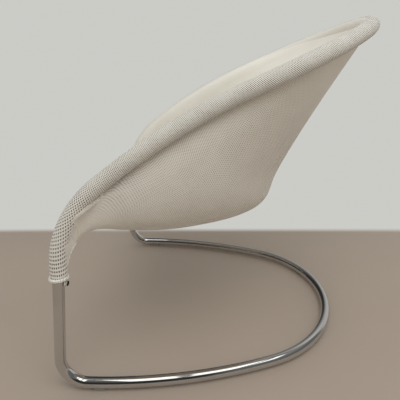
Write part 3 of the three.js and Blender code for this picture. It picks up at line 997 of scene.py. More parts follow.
@dataclass
class FloorLoop:
    """The bent chrome tube on the floor, with both uprights, and the glides under it.

    Attributes:
        line: the tube's centre line.
        radius: the tube's outer radius.
        wall: the thickness of its wall.
        front_setback: from the end of the foot bend to the front glides.
        rear_spread: angle from the middle of the rear to the rear glides.
        glide_length: length of a glide.
        glide_width: width of a glide.
        glide_rise: how far a glide comes up beside the tube.
        glide_clearance: between a glide and the tube.
        glide_tip: width of a glide's very tip, as a share of its width.
        ring_step: distance between the tube's rings.
        segments: faces round the tube.
    """

    line: LoopLine = field(default_factory=LoopLine)
    radius: float = 0.0135
    wall: float = 0.002
    front_setback: float = 0.027
    rear_spread: float = math.radians(36)
    glide_length: float = 0.038
    glide_width: float = 0.016
    glide_rise: float = 0.0025
    glide_clearance: float = 0.2 * MM
    glide_tip: float = 0.02
    ring_step: float = 0.012
    segments: int = 48

    def tube(self) -> Piece:
        """Makes the chrome tube."""
        bm = bmesh.new()
        stations = both_halves(self.line.half(self.ring_step))
        TubeSkin(stations, self.radius, self.segments).draw_wall(bm, self.radius - self.wall)
        return keep_sharp(finished("chrome_floor_loop", bm, CHROME, "base_tube"))

    def glide(self, place: str, hand: Hand) -> Piece:
        """Makes one glide: a round-ended pad, hollowed along its top to fit the tube.

        Args:
            place: front or rear.
            hand: the side of the chair.

        Returns:
            The glide.
        """
        where, turn = (
            self.line.runner(self.front_setback) if place == "front" else self.line.rear(self.rear_spread)
        )
        axis_height = self.line.leg.runner_height
        gap = axis_height - self.radius
        end = self.glide_width / 2
        bm = bmesh.new()
        grid = bmesh.ops.create_grid(bm, x_segments=24, y_segments=12, size=1)["verts"]
        for vert in grid:
            x, y = vert.co.x * self.glide_length / 2, vert.co.y * end
            overhang = max(abs(x) - (self.glide_length / 2 - end), 0)
            y *= math.sqrt(max(1 - (overhang / end) ** 2, self.glide_tip ** 2))
            vert.co = Vector((x, y, 0))
        base = list(bm.faces)
        grown = bmesh.ops.extrude_face_region(bm, geom=base)["geom"]
        for vert in (g for g in grown if isinstance(g, bmesh.types.BMVert)):
            seat = self.radius + self.glide_clearance
            cradle = axis_height - math.sqrt(max(seat ** 2 - vert.co.y ** 2, 0))
            vert.co.z = min(cradle, gap + self.glide_rise)
        bmesh.ops.remove_doubles(bm, verts=bm.verts, dist=MERGE)
        lay = Matrix.Translation(where) @ Matrix.Rotation(turn, 4, "Z")
        bmesh.ops.transform(bm, matrix=lay, verts=bm.verts)
        node = f"glide_{place}_{hand.label}"
        return keep_sharp(finished(f"{node}_pad", bm, CLEAR, node, hand))

    def build(self) -> list[Piece]:
        """Makes the tube and its glides."""
        return [self.tube(), *(self.glide(place, hand) for place in ("front", "rear") for hand in Hand)]


@dataclass
class PaddedRim:
    """The knit sleeve and the foam under it, round the rim.

    Attributes:
        line: the rim's centre line.
        end_drop: how far below the joint the sleeve ends.
        foam_drop: how far below the joint the foam ends.
        radius: the sleeve's outer radius.
        wall: the knit's thickness.
        tube_radius: radius of the rim tube.
        slack: clearance between tube and foam, and between foam and sleeve.
        swell: how far the padding may push the knit out.
        closed_angles: where the knit's stitches close under the roll, by distance, in degrees.
        closed_blend: how far to each side of there they close.
        inner_middle: the middle of the roll's inner side, where the stitches are closed too.
        inner_span: cosines of the angles from there at which they open and are closed.
        inner_start: the distances between which that begins.
        end_set: how far the web pulls the sleeve's lower end to the rear.
        end_reach: the distance over which it does.
        segments: faces round the sleeve.
        step: distance between its rings.
    """

    line: RimLine = field(default_factory=RimLine)
    end_drop: float = 0.014
    foam_drop: float = 0.012
    radius: float = 0.0202
    wall: float = 0.0024
    tube_radius: float = 0.0135
    slack: float = 0.0003
    swell: float = 0.0012
    closed_angles: tuple[tuple[float, float], ...] = (
        (0, 100), (0.03, 92), (0.08, 74), (0.13, 60), (0.19, 64), (0.26, 90), (0.34, 110)
    )
    closed_blend: float = 0.25
    inner_middle: float = math.radians(190)
    inner_span: tuple[float, float] = (0.22, 0.48)
    inner_start: tuple[float, float] = (0.02, 0.10)
    end_set: float = 0.0015
    end_reach: float = 0.08
    segments: int = 48
    step: float = 0.005

    @property
    def start(self) -> float:
        """Where the sleeve starts, from the start of the shoulder."""
        return -(self.line.shoulder_rise + self.end_drop)

    @cached_property
    def stations(self) -> list[Station]:
        """Stations along the whole sleeve."""
        half = []
        for station in self.line.half(self.start, self.step):
            set_back = self.end_set * (1 - rise(station.travelled, 0, self.end_reach))
            half.append(replace(station, point=station.point + Vector((0, set_back, 0))))
        return both_halves(half)

    @property
    def spans(self) -> dict[str, slice]:
        """The stations of each of the three lengths."""
        half = len(self.stations) // 2
        arm_end = self.line.side_length - self.start
        split = min(range(half), key=lambda i: abs(self.stations[i].travelled - arm_end))
        last = len(self.stations) - 1
        return {
            "left": slice(0, split + 1),
            "head": slice(split, last - split + 1),
            "right": slice(last - split, last + 1),
        }

    def puffed(self, stations: Sequence[Station]) -> np.ndarray:
        """Lets the padding push one length of the knit out.

        Args:
            stations: the stations that it covers.

        Returns:
            The vertices of the knit's outer skin, in the order in which they are drawn.
        """
        bm = bmesh.new()
        TubeSkin(stations, self.radius - self.swell / 2, self.segments).draw(bm)
        bmesh.ops.recalc_face_normals(bm, faces=bm.faces)
        mesh = bpy.data.meshes.new("skin")
        bm.to_mesh(mesh)
        bm.free()
        skin = bpy.data.objects.new("skin", mesh)
        bpy.context.scene.collection.objects.link(skin)
        last = len(mesh.vertices)
        ends = [*range(self.segments), *range(last - self.segments, last)]
        seam = range(self.segments // 2, last, self.segments)
        puff(skin, [*ends, *seam], self.swell)
        points = values_of(mesh.vertices, "co", 3)
        bpy.data.objects.remove(skin)
        bpy.data.meshes.remove(mesh)
        return points

    def sleeve(self, place: str, span: slice) -> Piece:
        """Makes one length of the sleeve.

        Args:
            place: left, head or right.
            span: the stations that it covers.

        Returns:
            The sleeve, with its knit's UV map.
        """
        stations = self.stations[span]
        bm = bmesh.new()
        TubeSkin(stations, self.radius, self.segments).draw_wall(bm, self.radius - self.wall)
        piece = keep_sharp(finished(f"knit_roll_{place}", bm, ROLL_KNIT, f"rim_sleeve_{place}"))
        mesh = piece.data
        co = values_of(mesh.vertices, "co", 3)
        outer = self.puffed(stations)
        co[:len(outer)] = outer
        mesh.vertices.foreach_set("co", co.ravel())
        mesh.update()
        ring = (np.arange(len(mesh.vertices)) // self.segments) % len(stations)
        points, outward, below = (
            np.array([getattr(s, name) for s in stations])[ring] for name in ("point", "outward", "below")
        )
        arm = co - points
        angle = np.arctan2((arm * below).sum(1), (arm * outward).sum(1))
        whole = self.stations[-1].travelled
        travelled = np.array([s.travelled for s in stations])[ring]
        travelled = np.minimum(travelled, whole - travelled)
        arc = corner_angles(mesh, angle) * self.radius
        knit_uv(mesh, stitches(travelled[corner_verts(mesh)], arc, ROLL_LAYS))
        places, angles = zip(*self.closed_angles)
        edge = np.radians(np.interp(travelled, places, angles))
        fading = rise(travelled, places[-2], places[-1])
        under = rise(angle, edge - self.closed_blend, edge + self.closed_blend) * (1 - fading)
        inner = rise(np.cos(angle - self.inner_middle), *self.inner_span) * rise(travelled, *self.inner_start)
        closed_stitches(mesh, np.maximum(under, inner))
        return piece

    def foam(self, place: str, span: slice) -> Piece:
        """Makes one length of the foam under the sleeve."""
        bm = bmesh.new()
        short = self.end_drop - self.foam_drop
        whole = self.stations[-1].travelled
        stations = [s for s in self.stations[span] if short <= s.travelled <= whole - short]
        outer = self.radius - self.wall - self.slack
        TubeSkin(stations, outer, 24).draw_wall(bm, self.tube_radius + self.slack)
        piece = finished(f"foam_{place}", bm, FOAM, f"rim_foam_{place}")
        return piece

    def build(self) -> list[Piece]:
        """Makes the sleeve and the foam, each in the three lengths of the CAD."""
        makers = (self.sleeve, self.foam)
        return [make(place, span) for make in makers for place, span in self.spans.items()]


class Skin(Enum):
    """One of the two skins of the bucket's knit."""

    OUTER = "outer"
    LINING = "lining"


@dataclass(frozen=True)
class Seam:
    """How the bucket's two skins meet the roll at one place of the rim.

    Angles go round the roll in degrees, from outward towards below.

    Attributes:
        place: distance from the start of the shoulder.
        outer: where the outer skin ends up.
        lining: where the lining ends up.
        wrap: how far the lining goes on over the roll.
        outer_hollow: radius of the hollow between the roll and the outer skin.
        lining_hollow: the same for the lining.
        proud: how far the outer skin lies over the roll's surface.
    """

    place: float
    outer: float
    lining: float
    wrap: float
    outer_hollow: float
    lining_hollow: float
    proud: float


@dataclass
class Bucket:
    """The knit bucket seat, hung inside the rim, and its bound front edge.

    Attributes:
        line: the rim's centre line.
        roll_radius: radius of the roll that the knit is sewn to.
        front_rise: height of the front edge's ends above the start of the shoulder.
        front_sag: how far the front edge's middle is below its ends.
        front_setback: how far it is behind them.
        depth: depth of the bucket below the straight line from front edge to head.
        profile: the bucket's centre line, as shares of that line and of the depth.
        edge_fullness: how square the bucket is across, at the front edge.
        seat_fullness: the same behind it.
        head_fullness: the same at the head.
        edge_blend: share of the bucket's length over which the front edge's form fades.
        corner: the free edge beside the leg: how far inward and behind the leg's axis, and how high.
        corner_share: share of the half width after which the free edge follows those points.
        corner_blend: share of the length over which the corner's form fades.
        foot_at: where the free edge ends on the rim, from the start of the shoulder.
        seams: how the knit meets the roll, from the front corner to the middle of the head.
        fabric: thickness of the two skins together.
        least_gap: how far the lining stays inside the outer skin everywhere.
        sunk: how deep the turned-in knit lies under the roll's surface.
        wale: width of a stitch.
        course: length of a stitch.
        binding_radius: radius of the bound front edge.
        binding_end_radius: its radius where it ends at the sleeve.
        binding_taper: distances from the leg between which it gets thicker.
        cord_share: the cord's share of the binding's radius.
        cord_inset: stations by which the cord is shorter than the binding at each end.
        lining_start: share of the bucket's length over which the lining leaves the outer skin.
        sewn_share: share of the fabric's thickness that is left where it is sewn to the roll.
        corner_closed: how closed the stitches are at the corner beside the leg.
        corner_open: distances from that corner between which they open.
        back_closed: distances along the knit between which they close towards the back.
        columns: faces across the bucket.
        rows: faces along it.
        wrap_steps: faces of the turned-in knit on its way over the roll.
        back_steps: faces of it on its way back.
        edge_steps: stations along half of the front edge.
        table_start: how far below the shoulder the table of the rim starts.
        table_blur: entries to each side over which that table is smoothed.
    """

    line: RimLine = field(default_factory=RimLine)
    roll_radius: float = 0.0202
    front_rise: float = 0.068
    front_sag: float = 0.042
    front_setback: float = 0.068
    depth: float = 0.2285
    profile: tuple[tuple[float, float], ...] = (
        (0, 0),
        (0.107, 0.494),
        (0.226, 0.782),
        (0.329, 0.968),
        (0.41, 1),
        (0.491, 0.812),
        (0.604, 0.61),
        (0.761, 0.363),
        (0.993, 0.025),
    )
    edge_fullness: float = 1.6
    seat_fullness: float = 2.25
    head_fullness: float = 2.0
    edge_blend: float = 0.25
    corner: tuple[tuple[float, float, float], ...] = (
        (0.086, 0.049, 0.3896),
        (0.071, 0.0446, 0.3945),
        (0.056, 0.0415, 0.3978),
        (0.041, 0.0408, 0.3998),
        (0.029, 0.0398, 0.3990),
        (0.020, 0.0368, 0.3926),
        (0.013, 0.0335, 0.3840),
        (0.009, 0.0293, 0.3731),
        (0.006, 0.0245, 0.3609),
        (0.005, 0.0215, 0.3475),
        (0.005, 0.0190, 0.3350),
    )
    corner_share: float = 0.6
    corner_blend: float = 0.2
    foot_at: float = -0.012
    seams: tuple[Seam, ...] = (
        Seam(-0.03, 105, 105, 0, 0.03, 0.03, -0.0008),
        Seam(0.00, 90, 120, 0, 0.03, 0.03, -0.0008),
        Seam(0.03, 50, 160, 5, 0.03, 0.04, -0.0008),
        Seam(0.07, 15, 190, 10, 0.035, 0.06, -0.0008),
        Seam(0.12, 15, 188, 20, 0.04, 0.10, -0.0008),
        Seam(0.17, 60, 185, 35, 0.04, 0.15, -0.0004),
        Seam(0.23, 120, 182, 45, 0.06, 0.15, 0.0002),
        Seam(0.31, 180, 181, 50, 0.15, 0.15, 0.0004),
        Seam(0.62, 183, 188, 60, 0.15, 0.15, 0.0004),
        Seam(0.80, 175, 208, 50, 0.08, 0.12, 0.0004),
        Seam(0.93, 140, 236, 34, 0.05, 0.12, -0.0004),
        Seam(1.04, 90, 256, 20, 0.05, 0.12, -0.0008),
        Seam(1.15, 65, 260, 20, 0.06, 0.12, -0.0008),
    )
    fabric: float = 0.0036
    least_gap: float = 0.0008
    sunk: float = 0.0012
    wale: float = 0.0045
    course: float = 0.0043
    binding_radius: float = 0.0030
    binding_end_radius: float = 0.0014
    binding_taper: tuple[float, float] = (0.035, 0.075)
    cord_share: float = 0.55
    cord_inset: int = 4
    lining_start: float = 0.05
    sewn_share: float = 0.2
    corner_closed: float = 0.8
    corner_open: tuple[float, float] = (0.05, 0.14)
    back_closed: tuple[float, float] = (0.52, 0.86)
    columns: int = 180
    rows: int = 160
    wrap_steps: int = 6
    back_steps: int = 10
    edge_steps: int = 110
    table_start: float = 0.08
    table_blur: int = 7

    @cached_property
    def edge_at(self) -> float:
        """Where the front edge starts on the rim, from the start of the shoulder."""
        line = self.line
        slope = math.acos(math.cos(line.leg_slope) + self.front_rise / line.shoulder_radius)
        return line.shoulder_radius * (line.leg_slope - slope)

    @cached_property
    def centre_points(self) -> list[Vector]:
        """The points of the bucket's centre line."""
        side = self.line.side_point(self.edge_at)
        front = Vector((0, side.y + self.front_setback, side.z - self.front_sag))
        head = self.line.head_point(0)
        chord = head - front
        down = Vector((0, chord.z, -chord.y)).normalized()
        return [front + chord * along + down * (depth * self.depth) for along, depth in self.profile]

    def plain_point(self, across: float, along: float) -> Vector:
        """Point of the bucket's outer face as it hangs from the rim's axis.

        Args:
            across: from 0 in the middle to 1 at the rim.
            along: from 0 at the front edge to 1 at the head.

        Returns:
            The point, on the left half.
        """
        rim = self.line.side_point(self.edge_at + (self.line.side_length - self.edge_at) * along)
        middle = through(self.centre_points, along)
        behind = rise(along, 0, self.edge_blend)
        fullness = self.edge_fullness + (self.seat_fullness - self.edge_fullness) * behind
        fullness += (self.head_fullness - fullness) * along ** 2
        angle = across * math.pi / 2
        out = max(math.sin(angle), 0) ** (2 / fullness)
        down = max(math.cos(angle), 0) ** (2 / fullness)
        return Vector((rim.x * out, rim.y + (middle.y - rim.y) * down, rim.z + (middle.z - rim.z) * down))

    @cached_property
    def corner_points(self) -> list[Vector]:
        """The free edge's points beside the leg."""
        leg = self.line.leg
        return [
            Vector((
                leg.half_spacing - inward,
                leg.corner_depth + (height - leg.runner_height) * math.tan(leg.rake) + behind,
                height,
            ))
            for inward, behind, height in self.corner
        ]

    def edge_point(self, across: float) -> Vector:
        """Point of the free front edge, from 0 in the middle to 1 inside the sleeve."""
        if across <= self.corner_share:
            plain = self.plain_point(across, 0)
            step = self.corner_points[0] - self.plain_point(self.corner_share, 0)
            return plain + step * rise(across, 0, self.corner_share)
        return through(self.corner_points, (across - self.corner_share) / (1 - self.corner_share))

    @cached_property
    def rim_stations(self) -> list[Station]:
        """Stations close together along the left half of the rim, with their distance from the shoulder."""
        half = self.line.half(-self.table_start, 0.002)
        return [replace(s, travelled=s.travelled - self.table_start) for s in half]

    @cached_property
    def rim_table(self) -> dict[str, np.ndarray]:
        """The rim's points and directions, and how the skins meet the roll there."""
        stations = self.rim_stations
        places = [seam.place for seam in self.seams]
        at = [s.travelled for s in stations]
        axes = ("point", "outward", "below")
        table = {name: np.array([getattr(s, name) for s in stations]) for name in axes}
        blur = self.table_blur
        kernel = np.ones(2 * blur + 1) / (2 * blur + 1)
        for name in ("outer", "lining", "wrap", "outer_hollow", "lining_hollow", "proud"):
            values = np.interp(at, places, [getattr(seam, name) for seam in self.seams])
            table[name] = np.convolve(np.pad(values, blur, "edge"), kernel, "valid")
        for name in ("outer", "lining", "wrap"):
            table[name] = np.radians(table[name])
        return table

    def round_roll(self, index: np.ndarray, angle: np.ndarray, radius: float | np.ndarray) -> np.ndarray:
        """Steps from the rim's axis to places round the roll."""
        table = self.rim_table
        arm = np.cos(angle)[..., None] * table["outward"][index]
        arm = arm + np.sin(angle)[..., None] * table["below"][index]
        return arm * np.asarray(radius)[..., None]

    def slide(self, along: np.ndarray) -> np.ndarray:
        """Steps that carry the knit's side down the leg at the front corner."""
        places = self.edge_at + (self.line.side_length - self.edge_at) * along
        drop = (self.edge_at - self.foot_at) * (1 - rise(along, 0, self.corner_blend))
        return np.array([self.line.side_point(p - d) - self.line.side_point(p) for p, d in zip(places, drop)])

    @cached_property
    def shares(self) -> tuple[np.ndarray, np.ndarray]:
        """Shares across the left half and along the bucket, of each column and row."""
        half = self.columns // 2
        return np.arange(half + 1) / half, np.arange(self.rows + 1) / self.rows

    @cached_property
    def hung(self) -> np.ndarray:
        """The left half as it hangs from the rim's axis: an array of rows, columns and coordinates."""
        across, along = self.shares
        grid = np.array([[self.plain_point(u, v) for u in across] for v in along])
        return grid + self.slide(along)[:, None] * rise(across, self.corner_share, 1)[None, :, None]

    @cached_property
    def nearest(self) -> np.ndarray:
        """The nearest rim station to each point of the left half."""
        points = self.rim_table["point"]
        flat = self.hung.reshape(-1, 3)
        return np.array([((points - p) ** 2).sum(1).argmin() for p in flat]).reshape(self.hung.shape[:2])

    @cached_property
    def inward(self) -> np.ndarray:
        """The direction from the outer skin to the lining at each point of the left half."""
        normal = np.cross(np.gradient(self.hung, axis=1), np.gradient(self.hung, axis=0))
        normal[-1, -1] = normal[-2, -2]
        return normal / np.linalg.norm(normal, axis=2, keepdims=True)

    def skin(self, skin: Skin) -> np.ndarray:
        """Points of one skin's left half, drawn to its side of the roll.

        Args:
            skin: the skin.

        Returns:
            An array of rows, columns and coordinates.
        """
        across, along = self.shares
        table, near = self.rim_table, self.nearest
        away = np.linalg.norm(table["point"][near] - self.hung, axis=2)
        held = hollow(away, self.roll_radius, table[f"{skin.value}_hollow"][near])
        behind = rise(along, 0, self.lining_start)[:, None]
        proud = table["proud"][near] if skin is Skin.OUTER else 0
        grid = self.hung + self.round_roll(near, table[skin.value][near], (self.roll_radius + proud) * held)
        if skin is Skin.LINING:
            thick = self.fabric * (1 - (1 - self.sewn_share) * held) * behind
            grid = grid + self.inward * thick[..., None]
        edge = np.array([self.edge_point(u) for u in across])
        grid = grid + (edge - grid[0])[None] * (1 - rise(along, 0, self.corner_blend))[:, None, None]
        if skin is Skin.LINING:
            both = (self.skin(Skin.OUTER), grid)
            outer, own = (((points - self.hung) * self.inward).sum(2) for points in both)
            short = np.maximum(around(outer, 2).max(2) + self.least_gap - own, 0) * behind
            grid = grid + self.inward * around(short, 1).mean(2)[..., None]
        return grid

    @staticmethod
    def border(values: np.ndarray) -> np.ndarray:
        """The left half's values along the rim, from the front corner to the middle of the head."""
        return np.concatenate([values[:, -1], values[-1, -2::-1]])

    def turned_in(self, outer: np.ndarray, lining: np.ndarray) -> np.ndarray:
        """Points of the knit that joins the skins, over the roll and back under its cover.

        Args:
            outer: the outer skin's border.
            lining: the lining's border.

        Returns:
            An array of places along the rim, steps from the lining to the outer skin, and coordinates.
        """
        table, near = self.rim_table, self.border(self.nearest)
        axis, start, end = table["point"][near], table["lining"][near], table["outer"][near]
        proud, surface = table["proud"][near], self.roll_radius
        over = self.sewn_share * self.fabric
        top = start + table["wrap"][near]
        loose = lining - axis - self.round_roll(near, start, surface + over + 0 * start)
        slack = outer - axis - self.round_roll(near, end, surface + proud)
        strips = [lining]
        for k in range(1, self.wrap_steps + 1):
            share = k / self.wrap_steps
            radius = surface + over * (1 - share) - self.sunk * share ** 2 + 0 * start
            ring = self.round_roll(near, start + (top - start) * share, radius)
            strips.append(axis + ring + loose * (1 - share))
        for k in range(1, self.back_steps):
            share = k / self.back_steps
            radius = surface - self.sunk + (self.sunk + proud) * share ** 4
            ring = self.round_roll(near, top + (end - top) * share, radius)
            strips.append(axis + ring + slack * share ** 4)
        strips.append(outer)
        strip = np.stack(strips, axis=1)
        strip[0] = outer[0]
        return strip

    def add_patch(self, bm: bmesh.types.BMesh, points: np.ndarray, knit: np.ndarray, skin: Skin) -> None:
        """Adds a patch of knit to a mesh.

        Args:
            bm: the mesh.
            points: an array of rows, columns and coordinates.
            knit: distances across and along the knit, of the same shape.
            skin: the skin whose finish it has.
        """
        rows, columns = points.shape[0] - 1, points.shape[1] - 1
        made = bmesh.ops.create_grid(bm, x_segments=columns, y_segments=rows, size=1)["verts"]
        layers = [bm.verts.layers.float[name] for name in KNIT_LAYERS]
        for vert in made:
            i = round((vert.co.x + 1) / 2 * columns)
            j = round((vert.co.y + 1) / 2 * rows)
            for layer, value, size in zip(layers, knit[j, i], (self.wale, self.course)):
                vert[layer] = value / size
            vert.co = Vector(points[j, i])
        for face in {face for vert in made for face in vert.link_faces}:
            face.material_index = 0 if skin is Skin.OUTER else 1

    def cloth(self) -> Piece:
        """Makes the bucket's knit: an outer skin and a lining, joined round the roll and at the front."""
        outer, lining = self.skin(Skin.OUTER), self.skin(Skin.LINING)
        wide = np.cumsum(np.linalg.norm(np.diff(outer, axis=1), axis=2), axis=1)
        deep = np.cumsum(np.linalg.norm(np.diff(outer, axis=0), axis=2), axis=0)
        knit = np.stack([np.pad(wide, ((0, 0), (1, 0))), np.pad(deep, ((1, 0), (0, 0)))], axis=2)
        strip = self.turned_in(self.border(outer), self.border(lining))
        turned = np.cumsum(np.linalg.norm(np.diff(strip, axis=1), axis=2), axis=1)
        turned = np.pad(turned, ((0, 0), (1, 0)))[..., None]
        sideways = (np.arange(len(strip)) <= self.rows)[:, None]
        strip_knit = self.border(knit)[:, None] + turned * np.stack([sideways, ~sideways], axis=2)
        flip_point, flip_knit = np.array([-1, 1, 1]), np.array([-1, 1])
        bm = bmesh.new()
        for name in KNIT_LAYERS:
            bm.verts.layers.float.new(name)
        for skin, half in ((Skin.OUTER, outer), (Skin.LINING, lining)):
            points = np.concatenate([half[:, :0:-1] * flip_point, half], axis=1)
            self.add_patch(bm, points, np.concatenate([knit[:, :0:-1] * flip_knit, knit], axis=1), skin)
        points = np.concatenate([strip, strip[-2::-1] * flip_point])
        self.add_patch(bm, points, np.concatenate([strip_knit, strip_knit[-2::-1] * flip_knit]), Skin.LINING)
        bmesh.ops.remove_doubles(bm, verts=bm.verts, dist=MERGE)
        open_edges = sum(edge.is_boundary for edge in bm.edges)
        piece = finished("bucket_knit", bm, KNIT, "basket")
        log.info("bucket: %d open edges", open_edges)
        mesh = piece.data
        # The lining and the turned-in knit take the lighter copy of the knit: painted light.
        mesh.materials.append(LINING.material)
        wales, courses = (values_of(mesh.attributes[name].data, "value") for name in KNIT_LAYERS)
        knit_uv(mesh, np.stack([wales, courses], 1)[corner_verts(mesh)])
        co = values_of(mesh.vertices, "co", 3)
        corner = np.array(self.corner_points[3])
        away = np.linalg.norm(np.abs(co) * [1, 0, 0] + co * [0, 1, 1] - corner, axis=1)
        front = self.corner_closed - self.corner_closed * rise(away, *self.corner_open)
        back = rise(courses * self.course, *self.back_closed)
        closed_stitches(mesh, np.maximum(front, back))
        return piece

    def edge_stations(self) -> list[Station]:
        """Stations along the whole free edge, from the left sleeve to the right one."""
        count = self.edge_steps
        points = [self.edge_point(1 - i / count) for i in range(count + 1)]
        headings = [
            (points[min(i + 1, count)] - points[max(i - 1, 0)]).normalized() for i in range(count + 1)
        ]
        headings[-1] = -ACROSS
        return both_halves(with_frames(points, headings, ACROSS))

    def binding(self) -> Piece:
        """Makes the bound front edge, which thins out beside the leg."""
        stations = self.edge_stations()
        bm = bmesh.new()
        TubeSkin(stations, self.binding_radius_at, 20).draw_wall(bm, self.binding_end_radius * 0.8)
        return finished("front_binding", bm, BINDING, "front_hem")

    def binding_radius_at(self, station: Station) -> float:
        """The binding's radius at a station."""
        from_leg = self.line.leg.half_spacing - abs(station.point.x)
        grown = (self.binding_radius - self.binding_end_radius) * rise(from_leg, *self.binding_taper)
        return self.binding_end_radius + grown

    def cord(self) -> Piece:
        """Makes the cord that stiffens the bound edge."""
        bm = bmesh.new()
        stations = self.edge_stations()[self.cord_inset:-self.cord_inset]
        TubeSkin(stations, self.binding_end_radius * self.cord_share, 12).draw_capped(bm)
        return finished("front_cord", bm, NYLON, "front_hem_cord")

    def build(self) -> list[Piece]:
        """Makes the knit, its bound edge and the cord in it."""
        cloth, binding, cord = self.cloth(), self.binding(), self.cord()
        uv = values_of(cloth.data.uv_layers["knit"].data, "uv", 2)
        return [cloth, binding, cord]


@dataclass
class LegJoint:
    """What shows where a sleeve ends: the rolled hem, its cord loop, and the screw.

    Attributes:
        leg: the upright.
        hem_drop: from the joint down to the hem's middle.
        hem_back: how far the hem sits to the rear of the leg's axis.
        hem_ring: radius of the hem's ring.
        hem_thickness: thickness of the rolled hem.
        hem_height: the rolled hem's height, as a multiple of its thickness.
        hem_tilt: how far the hem rises towards the rear.
        hem_wave: how far the hem's edge waves up and down.
        hem_phase: where round the leg that wave starts.
        loop_half_width: half of the cord loop's width.
        loop_straight: length of its straight part, up to the hem.
        loop_radius: radius of its cord.
        loop_steps: stations round it.
        screw_drop: from the joint down to the screw.
        tube_radius: radius of the upright.
        spacer_length: length of the spacer.
        head_radius: radius of the screw's head.
        head_height: height of the screw's head.
        gap: clearance between tube, spacer and head.
        facets: facets round the screw and the spacer.
    """

    leg: Leg = field(default_factory=Leg)
    hem_drop: float = 0.0186
    hem_back: float = 0.0015
    hem_ring: float = 0.0189
    hem_thickness: float = 0.0072
    hem_height: float = 1.25
    hem_tilt: float = math.radians(4)
    hem_wave: float = 0.0008
    hem_phase: float = 0.6
    loop_half_width: float = 0.0062
    loop_straight: float = 0.0050
    loop_radius: float = 0.0011
    loop_steps: int = 48
    screw_drop: float = 0.0327
    tube_radius: float = 0.0135
    spacer_length: float = 0.0072
    head_radius: float = 0.0062
    head_height: float = 0.0022
    gap: float = 0.3 * MM
    facets: int = 36

    @property
    def screw_frame(self) -> Matrix:
        """A frame on the leg's axis at the screw, with Z up the leg and Y to its rear."""
        return self.leg.matrix(self.leg.joint_at - self.screw_drop)

    def hem(self, hand: Hand) -> Piece:
        """Makes the rolled hem."""
        bm = bmesh.new()
        made = bmesh.ops.create_circle(bm, cap_ends=False, segments=20, radius=self.hem_thickness / 2)
        lay = Matrix.Translation((self.hem_ring, 0, 0)) @ Matrix.Rotation(math.pi / 2, 4, "X")
        bmesh.ops.transform(bm, matrix=lay, verts=made["verts"])
        bmesh.ops.spin(
            bm, geom=edges_within(made["verts"]), cent=(0, 0, 0), axis=(0, 0, 1),
            angle=2 * math.pi, steps=72, use_merge=True,
        )
        for vert in bm.verts:
            angle = math.atan2(vert.co.y, vert.co.x)
            wave = self.hem_wave * math.sin(2 * angle + self.hem_phase)
            vert.co.z = vert.co.z * self.hem_height + wave
        place = self.leg.matrix(self.leg.joint_at - self.hem_drop) @ Matrix.Translation((0, self.hem_back, 0))
        place = place @ Matrix.Rotation(self.hem_tilt, 4, "X")
        bmesh.ops.transform(bm, matrix=place, verts=bm.verts)
        return finished(f"hem_roll_{hand.label}", bm, BINDING, f"hem_welt_{hand.label}", hand)

    def loop(self, hand: Hand) -> Piece:
        """Makes the cord loop that holds the hem to the screw."""
        inner = self.tube_radius + self.spacer_length / 2
        half_width, straight, count = self.loop_half_width, self.loop_straight, self.loop_steps
        points = []
        for i in range(count + 1):
            angle = 2 * math.pi * i / count
            height = half_width * math.sin(angle) + (straight if math.sin(angle) > 0 else 0)
            lean = max(height, 0) / (straight + half_width)
            points.append(Vector((
                half_width * math.cos(angle),
                inner + (self.hem_ring - inner) * lean ** 3,
                height,
            )))
        headings = [
            (points[(i + 1) % count] - points[(i - 1) % count]).normalized() for i in range(count + 1)
        ]
        bm = bmesh.new()
        TubeSkin(with_frames(points, headings, ACROSS), self.loop_radius, 12).draw(bm)
        bmesh.ops.remove_doubles(bm, verts=bm.verts, dist=0.3 * MM)
        bmesh.ops.transform(bm, matrix=self.screw_frame, verts=bm.verts)
        return finished(f"hem_cord_{hand.label}", bm, BINDING, f"hem_loop_{hand.label}", hand)

    def turned(self, outline: Sequence[tuple[float, float]]) -> bmesh.types.BMesh:
        """A solid turned about the screw's axis.

        Args:
            outline: radius and distance from the leg's axis, for each corner.

        Returns:
            The mesh, in its place on the left leg.
        """
        bm = bmesh.new()
        verts = [bmesh.ops.create_vert(bm, co=(radius, 0, height))["vert"][0] for radius, height in outline]
        edges = [bm.edges.new(pair) for pair in zip(verts, verts[1:])]
        bmesh.ops.spin(
            bm, geom=edges, cent=(0, 0, 0), axis=(0, 0, 1),
            angle=2 * math.pi, steps=self.facets, use_merge=True,
        )
        bmesh.ops.remove_doubles(bm, verts=bm.verts, dist=0.005 * MM)
        place = self.screw_frame @ Matrix.Rotation(-math.pi / 2, 4, "X")
        bmesh.ops.transform(bm, matrix=place, verts=bm.verts)
        return bm

    def screw(self, hand: Hand) -> Piece:
        """Makes the screw: a domed head with a six-sided socket, and its shank."""
        base = self.tube_radius + self.gap + self.spacer_length + self.gap
        top = base + self.head_height
        r = self.head_radius
        outline = (
            (0, -0.0035), (0.0026, -0.0035), (0.003, -0.0031), (0.003, base - 0.1 * MM), (0.0031, base),
            (r * 0.94, base), (r, base + 0.3 * MM), (r, base + 1.1 * MM), (r * 0.95, base + 1.6 * MM),
            (r * 0.83, base + 2.0 * MM), (r * 0.48, top),
            (r * 0.42, top - 0.15 * MM), (r * 0.40, top - 1.3 * MM), (0, top - 1.5 * MM),
        )
        name, node = f"joint_screw_{hand.label}", f"lock_screw_{hand.label}"
        return keep_sharp(finished(name, self.turned(outline), BLACK_STEEL, node, hand))

    def spacer(self, hand: Hand) -> Piece:
        """Makes the white spacer between tube and screw head."""
        low = self.tube_radius + self.gap
        high = low + self.spacer_length
        outline = (
            (0.0034, low), (0.0043, low), (0.0046, low + 0.3 * MM), (0.0046, high - 0.3 * MM),
            (0.0043, high), (0.0034, high), (0.0034, low),
        )
        name, node = f"joint_spacer_{hand.label}", f"screw_spacer_{hand.label}"
        return keep_sharp(finished(name, self.turned(outline), NYLON, node, hand))

